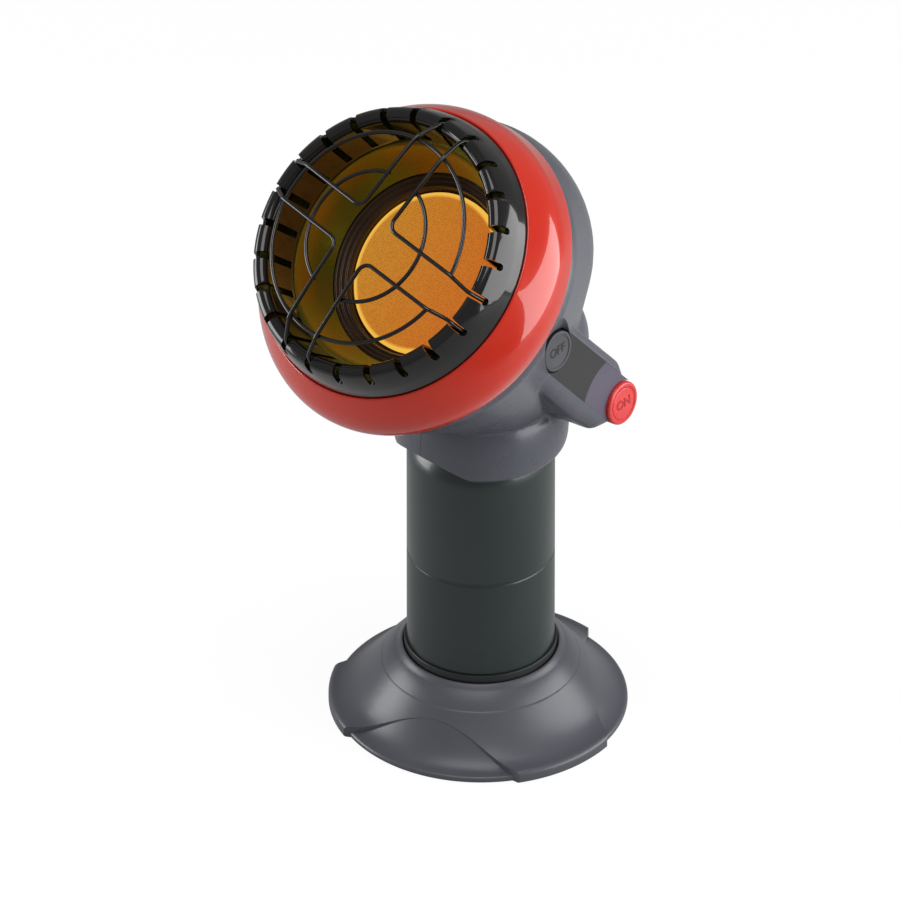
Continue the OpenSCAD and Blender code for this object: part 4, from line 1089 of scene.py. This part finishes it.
@dataclass
class Housing:
    """The grey rear housing in two halves, with the control arm on the right one."""

    front_r: float = 0.1084
    rear_t: float = 0.0735
    back_r: float = 0.0885
    back_at: Point3 = (0, -0.0205, 0.3725)
    crease_z: float = 0.2515
    crease_r: float = 0.053
    skirt_z: float = 0.214
    skirt_r: float = 0.0584
    wall: float = 0.0026
    arch_h: float = 0.012
    arch_half: float = 0.036
    voxel: float = 0.0016
    arm_deep: float = 0.044
    arm_round: float = 0.009
    label_r: float = 0.0156
    label_sink: float = 0.001
    on_well_r: float = 0.01555
    valley: Point2 = (-0.041, 0.0275)
    room_deep: float = 0.05
    room_back_r: float = 0.07
    arm_corners: list[Point2] = field(default_factory=lambda: [
        (-0.014, 0.0135), (0.076, 0.0135), (0.088, 0.008), (0.091, -0.010), (0.082, -0.0175), (0.055, -0.0205),
        (-0.014, -0.019)])

    def body(self) -> bpy.types.Object:
        """Model the smooth shell from the ring to the neck.

        Returns:
            The solid shell, cut off at the ring's rear edge.
        """
        disc = Bench.drum("front_disc", self.front_r, 0.008, HEAD_PLACE @ Matrix.Translation(
            (0, 0, self.rear_t - 0.008)), 192)
        ball = Bench.ball("back_ball", self.back_r, self.back_at)
        neck = Bench.drum("neck_disc", self.crease_r, 0.001, Matrix.Translation((0, 0, self.crease_z)), 128)
        shell = Bench.hulled("housing_shell", [disc, ball, neck])
        return Bench.cut(shell, Bench.drum("front_cut", 0.25, 0.2, HEAD_PLACE @ Matrix.Translation(
            (0, 0, self.rear_t)), 96))

    def arm(self) -> bpy.types.Object:
        """Model the control arm with its rounded edges.

        Returns:
            The solid arm.
        """
        balls = [Bench.ball("arm_corner", self.arm_round, (x, y, z), ARM_PLACE)
                 for x, y in self.arm_corners for z in (-self.arm_round, self.arm_round - self.arm_deep)]
        return Bench.hulled("arm_shell", balls)

    def skirt(self) -> bpy.types.Object:
        """Model the flared skirt that hides the cylinder's shoulder.

        Returns:
            The solid skirt, filled up to its crease.
        """
        r, z = self.skirt_r, self.skirt_z
        outside = flowing([(r - 0.002, z), (r - 0.0005, z + 0.005), (r, z + 0.015), (r - 0.0006, z + 0.024),
                           (self.crease_r + 0.0026, self.crease_z - 0.004), (self.crease_r, self.crease_z)], 6)
        return Bench.turned("skirt", [(0, z), *outside, (0, self.crease_z)], 192)

    def burner_room(self) -> bpy.types.Object:
        """Model the tool that opens the shell's front for the burner."""
        front, back = self.rear_t + 0.001, self.rear_t - self.room_deep
        return Bench.hulled("burner_room", [
            Bench.drum("room_front", self.front_r - 0.003, 0.002, HEAD_PLACE @ Matrix.Translation((0, 0, front)), 128),
            Bench.drum("room_back", self.room_back_r, 0.001, HEAD_PLACE @ Matrix.Translation((0, 0, back)), 128)])

    def hollow(self) -> bpy.types.Object:
        """Model the tool that opens the skirt from below."""
        r, z, w = self.skirt_r, self.skirt_z, self.wall
        inside = flowing([(r - 0.002 - w, z - 0.001), (r - 0.0005 - w, z + 0.005), (r - w, z + 0.015),
                          (r - 0.0006 - w, z + 0.024), (self.crease_r - w, self.crease_z - 0.006)], 5)
        return Bench.turned("skirt_hollow", [(0, z - 0.001), *inside, (0, self.crease_z - 0.006)], 144)

    def arch(self) -> bpy.types.Object:
        """Model the tool that cuts the arch into the skirt's front."""
        radius = (self.arch_half**2 + self.arch_h**2) / (2 * self.arch_h)
        return Bench.drum("arch_cut", radius, 0.07, Matrix.Translation(
            (0, 0, self.skirt_z + self.arch_h - radius)) @ Matrix.Rotation(math.pi / 2, 4, "X"), 256)

    def wells(self, shell: bpy.types.Object) -> None:
        """Cut the label's recess and the two button wells into the arm."""
        def at(x: float, z: float) -> Matrix:
            """Place on the arm's face."""
            return ARM_PLACE @ Matrix.Translation((x, 0, z))

        near, far = self.valley
        for tool in (
            Bench.hulled("off_valley", [
                Bench.drum("valley_start", self.label_r, 0.001, at(0, -0.0005), 96),
                Bench.drum("valley_end", self.label_r * 1.1, 0.001, at(near, far), 96)]),
            Bench.block("recess", (0, -self.label_r, -self.label_sink), (BUTTON_SPAN, self.label_r, 0.02), ARM_PLACE),
            Bench.drum("recess_end", self.label_r, 0.03, at(0, -0.009), 96),
            Bench.drum("on_well", self.on_well_r, 0.04, at(BUTTON_SPAN, -0.013), 96),
        ):
            Bench.cut(shell, tool)

    def half(self, shell: bpy.types.Object, name: str, left: bool) -> bpy.types.Object:
        """Cut one half off a copy of the shell at the seam.

        Args:
            shell: The whole shell.
            name: Name of the half.
            left: Whether this is the left half.

        Returns:
            The closed half.
        """
        Bench.pick(shell)
        bpy.ops.object.duplicate()
        piece = Bench.named(name)
        bpy.ops.object.mode_set(mode="EDIT")
        bpy.ops.mesh.select_all(action="SELECT")
        seam = -0.00012 if left else 0.00012
        bpy.ops.mesh.bisect(plane_co=(seam, 0, 0), plane_no=(1, 0, 0), use_fill=True,
                            clear_inner=not left, clear_outer=left)
        bpy.ops.object.mode_set(mode="OBJECT")
        return Bench.smooth(piece, 40)

    def build(self) -> None:
        """Model and dress both halves and the screws."""
        shell = Bench.joined([self.body(), self.skirt(), Bench.ball("arm_root", 0.043, (0.024, 0.016, 0.296)),
                              self.arm()], "housing")
        Bench.apply(shell, "REMESH", mode="VOXEL", voxel_size=self.voxel, adaptivity=0)
        Bench.apply(shell, "SMOOTH", factor=0.5, iterations=6)
        Bench.cut(shell, self.burner_room())
        Bench.cut(shell, self.hollow())
        Bench.cut(shell, self.arch())
        self.wells(shell)
        right = self.half(shell, "housing_half_right", False)
        left = self.half(shell, "housing_half_left", True)
        bpy.data.objects.remove(shell, do_unlink=True)
        carry(right, Body.HEAD, Finishes.MOULDED_GREY, "housing_right")
        carry(left, Body.HEAD, Finishes.MOULDED_GREY, "housing_left")
        Finishes.SCREW.dress_node("housing_screws")


@dataclass
class ControlArm:
    """The label, the two buttons and what they work."""

    off_r: float = 0.0142
    on_r: float = 0.01505
    label_r: float = 0.01545
    label_z: float = -0.0010
    label_h: float = 0.0006
    off_proud: float = 0.0012
    on_proud: float = 0.0026
    pale_r: float = 0.033
    pale_from: float = 0.0542
    pale_y: float = -0.002
    spring_r: float = 0.0043
    spring_low: float = -0.0173
    spring_wire: float = 0.0004

    def off_button(self) -> bpy.types.Object:
        """Model the stop button with its raised edge.

        Returns:
            The button.
        """
        r, z = self.off_r, self.off_proud
        button = Bench.turned("off_button_cap", [
            (0, -0.0057), (r - 0.0004, -0.0057), (r, -0.0052), *arc((r - 0.0008, z - 0.0008), 0.0008, 0, 90, 5),
            (r - 0.0022, z), *flowing([(r - 0.0026, z - 0.0004), (r - 0.0034, z - 0.0006), (0, z - 0.0008)], 6)], 96)
        return Bench.settle(button, ARM_PLACE)

    def on_button(self) -> bpy.types.Object:
        """Model the start button with its groove.

        Returns:
            The button.
        """
        r, z = self.on_r, self.on_proud
        groove = r - 0.0034
        button = Bench.turned("on_button_cap", [
            (0, -0.0077), (r - 0.0005, -0.0077), (r, -0.0072), *arc((r - 0.0016, z - 0.0016), 0.0016, 0, 90, 8),
            (groove + 0.0008, z), (groove + 0.0003, z - 0.0007), (groove - 0.0003, z - 0.0007),
            *arc((groove - 0.0012, z - 0.0010), 0.0007, 0, 90, 4), (0, z - 0.0002)], 96)
        return Bench.settle(button, ARM_PLACE @ Matrix.Translation((BUTTON_SPAN, 0, 0)))

    def stem(self, name: str, x: float, reach: float) -> bpy.types.Object:
        """Model a button's stem."""
        profile = [(0, -0.0335 if x == 0 else -0.031), (0.0026, -0.0335 if x == 0 else -0.031),
                   (0.003, -0.0331 if x == 0 else -0.0306), (0.003, reach), (0, reach)]
        return Bench.settle(Bench.turned(name, profile, 32), ARM_PLACE @ Matrix.Translation((x, 0, 0)))

    def lettering(self, text: str, at: Point3) -> bpy.types.Object:
        """Model plain raised letters on a button.

        Args:
            text: The letters.
            at: Their middle in the arm's frame.

        Returns:
            The letters as a mesh, upright on the arm's face.
        """
        Bench.clear()
        bpy.ops.object.text_add(location=(0, 0, 0))
        letters = bpy.context.object
        letters.data.body = text
        letters.data.size = 0.0092
        letters.data.align_x, letters.data.align_y = "CENTER", "CENTER"
        letters.data.extrude = 0.00025
        letters.data.offset = 0.0002
        bpy.ops.object.convert(target="MESH")
        piece = Bench.weld(Bench.named(f"lettering_{text.lower()}"))
        upright = Matrix.Rotation(math.radians(49.7), 4, "Z")
        return Bench.settle(piece, ARM_PLACE @ Matrix.Translation(at) @ upright)

    def label(self, name: str, pale: bool) -> bpy.types.Object:
        """Model one part of the bare label film between the buttons.

        Args:
            name: Name of the piece.
            pale: Whether this is the paler part beside the start button.

        Returns:
            The film.
        """
        film = Bench.block(name, (0.0, -self.label_r, self.label_z), (
            BUTTON_SPAN, self.label_r, self.label_z + self.label_h), ARM_PLACE)
        Bench.cut(film, Bench.drum("pale_part", self.pale_r, 0.02, ARM_PLACE @ Matrix.Translation(
            (self.pale_from + self.pale_r, self.pale_y, -0.01)), 256), "INTERSECT" if pale else "DIFFERENCE")
        Bench.cut(film, Bench.drum("off_hole", 0.0156, 0.02, ARM_PLACE @ Matrix.Translation((0, 0, -0.01)), 96))
        Bench.cut(film, Bench.drum("on_hole", 0.01555, 0.02, ARM_PLACE @ Matrix.Translation(
            (BUTTON_SPAN, 0, -0.01)), 96))
        return film

    def spring(self, key: str, x: float, top: float) -> None:
        """Model one coil spring under a button.

        Args:
            key: Which button it works, on or off.
            x: Distance from the stop button's middle.
            top: Height of its last turn.
        """
        steps = 80
        coil = Bench.wire(f"{key}_coil", [
            (self.spring_r * math.cos(math.tau * i / 16), self.spring_r * math.sin(math.tau * i / 16),
             self.spring_low + (top - self.spring_low) * i / steps) for i in range(steps + 1)], self.spring_wire)
        Bench.settle(coil, ARM_PLACE @ Matrix.Translation((x, 0, 0)))
        carry(coil, Body.HEAD, Finishes.SPRING, f"{key}_spring")
        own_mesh(coil)

    def build(self) -> None:
        """Model and dress the arm's pieces."""
        self.spring("off", 0, -0.0062)
        self.spring("on", BUTTON_SPAN - 0.009, -0.0082)
        carry(Bench.smooth(self.off_button(), 30), Body.OFF_KEY, Finishes.BUTTON_GREY, "off_button")
        carry(Bench.smooth(self.on_button(), 30), Body.ON_KEY, Finishes.BUTTON_RED, "on_button")
        carry(Bench.smooth(self.stem("off_button_stem", 0, -0.0050), 30), Body.OFF_KEY, Finishes.BUTTON_GREY)
        carry(Bench.smooth(self.stem("on_button_stem", BUTTON_SPAN - 0.009, -0.0070), 30), Body.ON_KEY,
              Finishes.BUTTON_RED)
        # The letters' darker finishes are painted shade of the moulded lettering.
        carry(self.lettering("OFF", (0, 0, self.off_proud - 0.0008)), Body.OFF_KEY, Finishes.LETTER_PAINTED_SHADE)
        carry(self.lettering("ON", (BUTTON_SPAN, 0, self.on_proud - 0.0002)), Body.ON_KEY, Finishes.LETTER_RED_PAINTED_SHADE)
        carry(self.label("label_film_dark", False), Body.HEAD, Finishes.LABEL_DARK, "label_panel")
        carry(self.label("label_film_pale", True), Body.HEAD, Finishes.LABEL_GREY)
        for node, finish in {
            "valve_block": Finishes.CAST, "piezo_igniter": Finishes.SWITCH, "tip_switch": Finishes.SWITCH,
            "regulator": Finishes.CAST, "regulator_plate": Finishes.PLATED, "inlet_seal": Finishes.RUBBER,
            "gas_inlet_tube": Finishes.COPPER, "gas_outlet_tube": Finishes.COPPER,
        }.items():
            finish.dress_node(node)


@dataclass
class Studio:
    """The pale floor, the soft lamps and the camera at the photograph's angle."""

    azimuth: float = 43.7
    elevation: float = 35.0
    distance: float = 20.0
    lens: float = 1209.3
    target: Point3 = (0.0047, -0.0345, 0.2212)
    fill: float = 0.26
    gloss_share: float = 0.12
    floor_tone: float = 0.45

    def back(self) -> Vector:
        """Direction from the object to the camera."""
        a, e = math.radians(self.azimuth), math.radians(self.elevation)
        return Vector((math.sin(a) * math.cos(e), -math.cos(a) * math.cos(e), math.sin(e)))

    def camera(self) -> None:
        """Add the camera."""
        Bench.clear()
        place = Vector(self.target) + self.back() * self.distance
        bpy.ops.object.camera_add(location=place, rotation=(-self.back()).to_track_quat("-Z", "Y").to_euler())
        camera = bpy.context.object
        camera.data.lens = self.lens
        camera.data.sensor_width = 36
        camera.data.clip_end = 100
        bpy.context.scene.camera = camera

    def seen(self, tree: bpy.types.NodeTree, share: float) -> bpy.types.NodeSocket:
        """Tell how much of the white backdrop a ray sees.

        Args:
            tree: The material's or the world's nodes.
            share: What the camera's own rays see, from 0 to 1.

        Returns:
            The share: most for the camera, less for gloss and glass, none for the rest.
        """
        path = tree.nodes.new("ShaderNodeLightPath")
        glossy, camera = tree.nodes.new("ShaderNodeMath"), tree.nodes.new("ShaderNodeMath")
        glossy.operation, camera.operation = "MAXIMUM", "MULTIPLY"
        tree.links.new(path.outputs["Is Glossy Ray"], glossy.inputs[0])
        tree.links.new(path.outputs["Is Transmission Ray"], glossy.inputs[1])
        tree.links.new(path.outputs["Is Camera Ray"], camera.inputs[0])
        camera.inputs[1].default_value = share
        total = tree.nodes.new("ShaderNodeMath")
        total.operation = "MULTIPLY_ADD"
        total.inputs[1].default_value = self.gloss_share
        tree.links.new(glossy.outputs["Value"], total.inputs[0])
        tree.links.new(camera.outputs["Value"], total.inputs[2])
        return total.outputs["Value"]

    def floor(self) -> None:
        """Add the floor, which the camera sees as plain white."""
        Bench.clear()
        bpy.ops.mesh.primitive_plane_add(size=60, location=(0, 0, -0.0002))
        floor = Bench.settle(Bench.named("studio_floor"))
        material = bpy.data.materials.new("studio_white")
        material.use_nodes = True
        nodes, links = material.node_tree.nodes, material.node_tree.links
        shader = nodes["Principled BSDF"]
        shader.inputs["Base Color"].default_value = (*[self.floor_tone] * 3, 1)
        shader.inputs["Roughness"].default_value = 0.9
        shader.inputs["Specular IOR Level"].default_value = 0.1
        white, mix = nodes.new("ShaderNodeEmission"), nodes.new("ShaderNodeMixShader")
        white.inputs["Strength"].default_value = 1.16
        links.new(self.seen(material.node_tree, 0.8), mix.inputs[0])
        links.new(shader.outputs[0], mix.inputs[1])
        links.new(white.outputs[0], mix.inputs[2])
        links.new(mix.outputs[0], nodes["Material Output"].inputs["Surface"])
        floor.data.materials.append(material)

    def lamp(self, name: str, place: Point3, aim: Point3, size: tuple[float, float], power: float) -> None:
        """Add one soft lamp.

        Args:
            name: Name of the lamp.
            place: Where it stands.
            aim: What it points at.
            size: Width and height of its face.
            power: Its power in watts.
        """
        Bench.clear()
        toward = Vector(aim) - Vector(place)
        bpy.ops.object.light_add(type="AREA", location=place, rotation=toward.to_track_quat("-Z", "Y").to_euler())
        lamp = bpy.context.object
        lamp.name = name
        lamp.data.shape = "RECTANGLE"
        lamp.data.size, lamp.data.size_y = size
        lamp.data.energy = power

    def world(self) -> None:
        """Light the scene evenly, and show white behind the object."""
        world = bpy.data.worlds.new("studio_world")
        bpy.context.scene.world = world
        world.use_nodes = True
        nodes, links = world.node_tree.nodes, world.node_tree.links
        background = nodes["Background"]
        background.inputs["Color"].default_value = (1, 1, 1, 1)
        level = nodes.new("ShaderNodeMapRange")
        level.inputs["To Min"].default_value = self.fill
        level.inputs["To Max"].default_value = 1.0
        links.new(self.seen(world.node_tree, 1.0), level.inputs["Value"])
        links.new(level.outputs["Result"], background.inputs["Strength"])

    def build(self) -> None:
        """Set up the studio."""
        self.world()
        self.floor()
        middle = (0, -0.03, 0.25)
        self.lamp("lamp_right", (1.15, 0.72, 0.48), middle, (1.7, 0.9), 22)
        self.lamp("lamp_left", (-1.15, -0.85, 0.45), middle, (0.8, 0.8), 12)
        self.lamp("lamp_top", (0.3, -0.5, 2.0), middle, (1.2, 1.2), 16)
        self.camera()
        bpy.context.scene.view_settings.view_transform = "Standard"


def main() -> None:
    """Build every sub-assembly."""
    logging.basicConfig(level=logging.INFO, format="%(name)s: %(message)s")
    for part in (Foot(), FuelCylinder(), PaintedRing(), SlottedRim(), WireGuard(), Burner(), Housing(), ControlArm(),
                 Studio()):
        log.info("building %s", type(part).__name__)
        part.build()


if __name__ == "__main__":
    main()
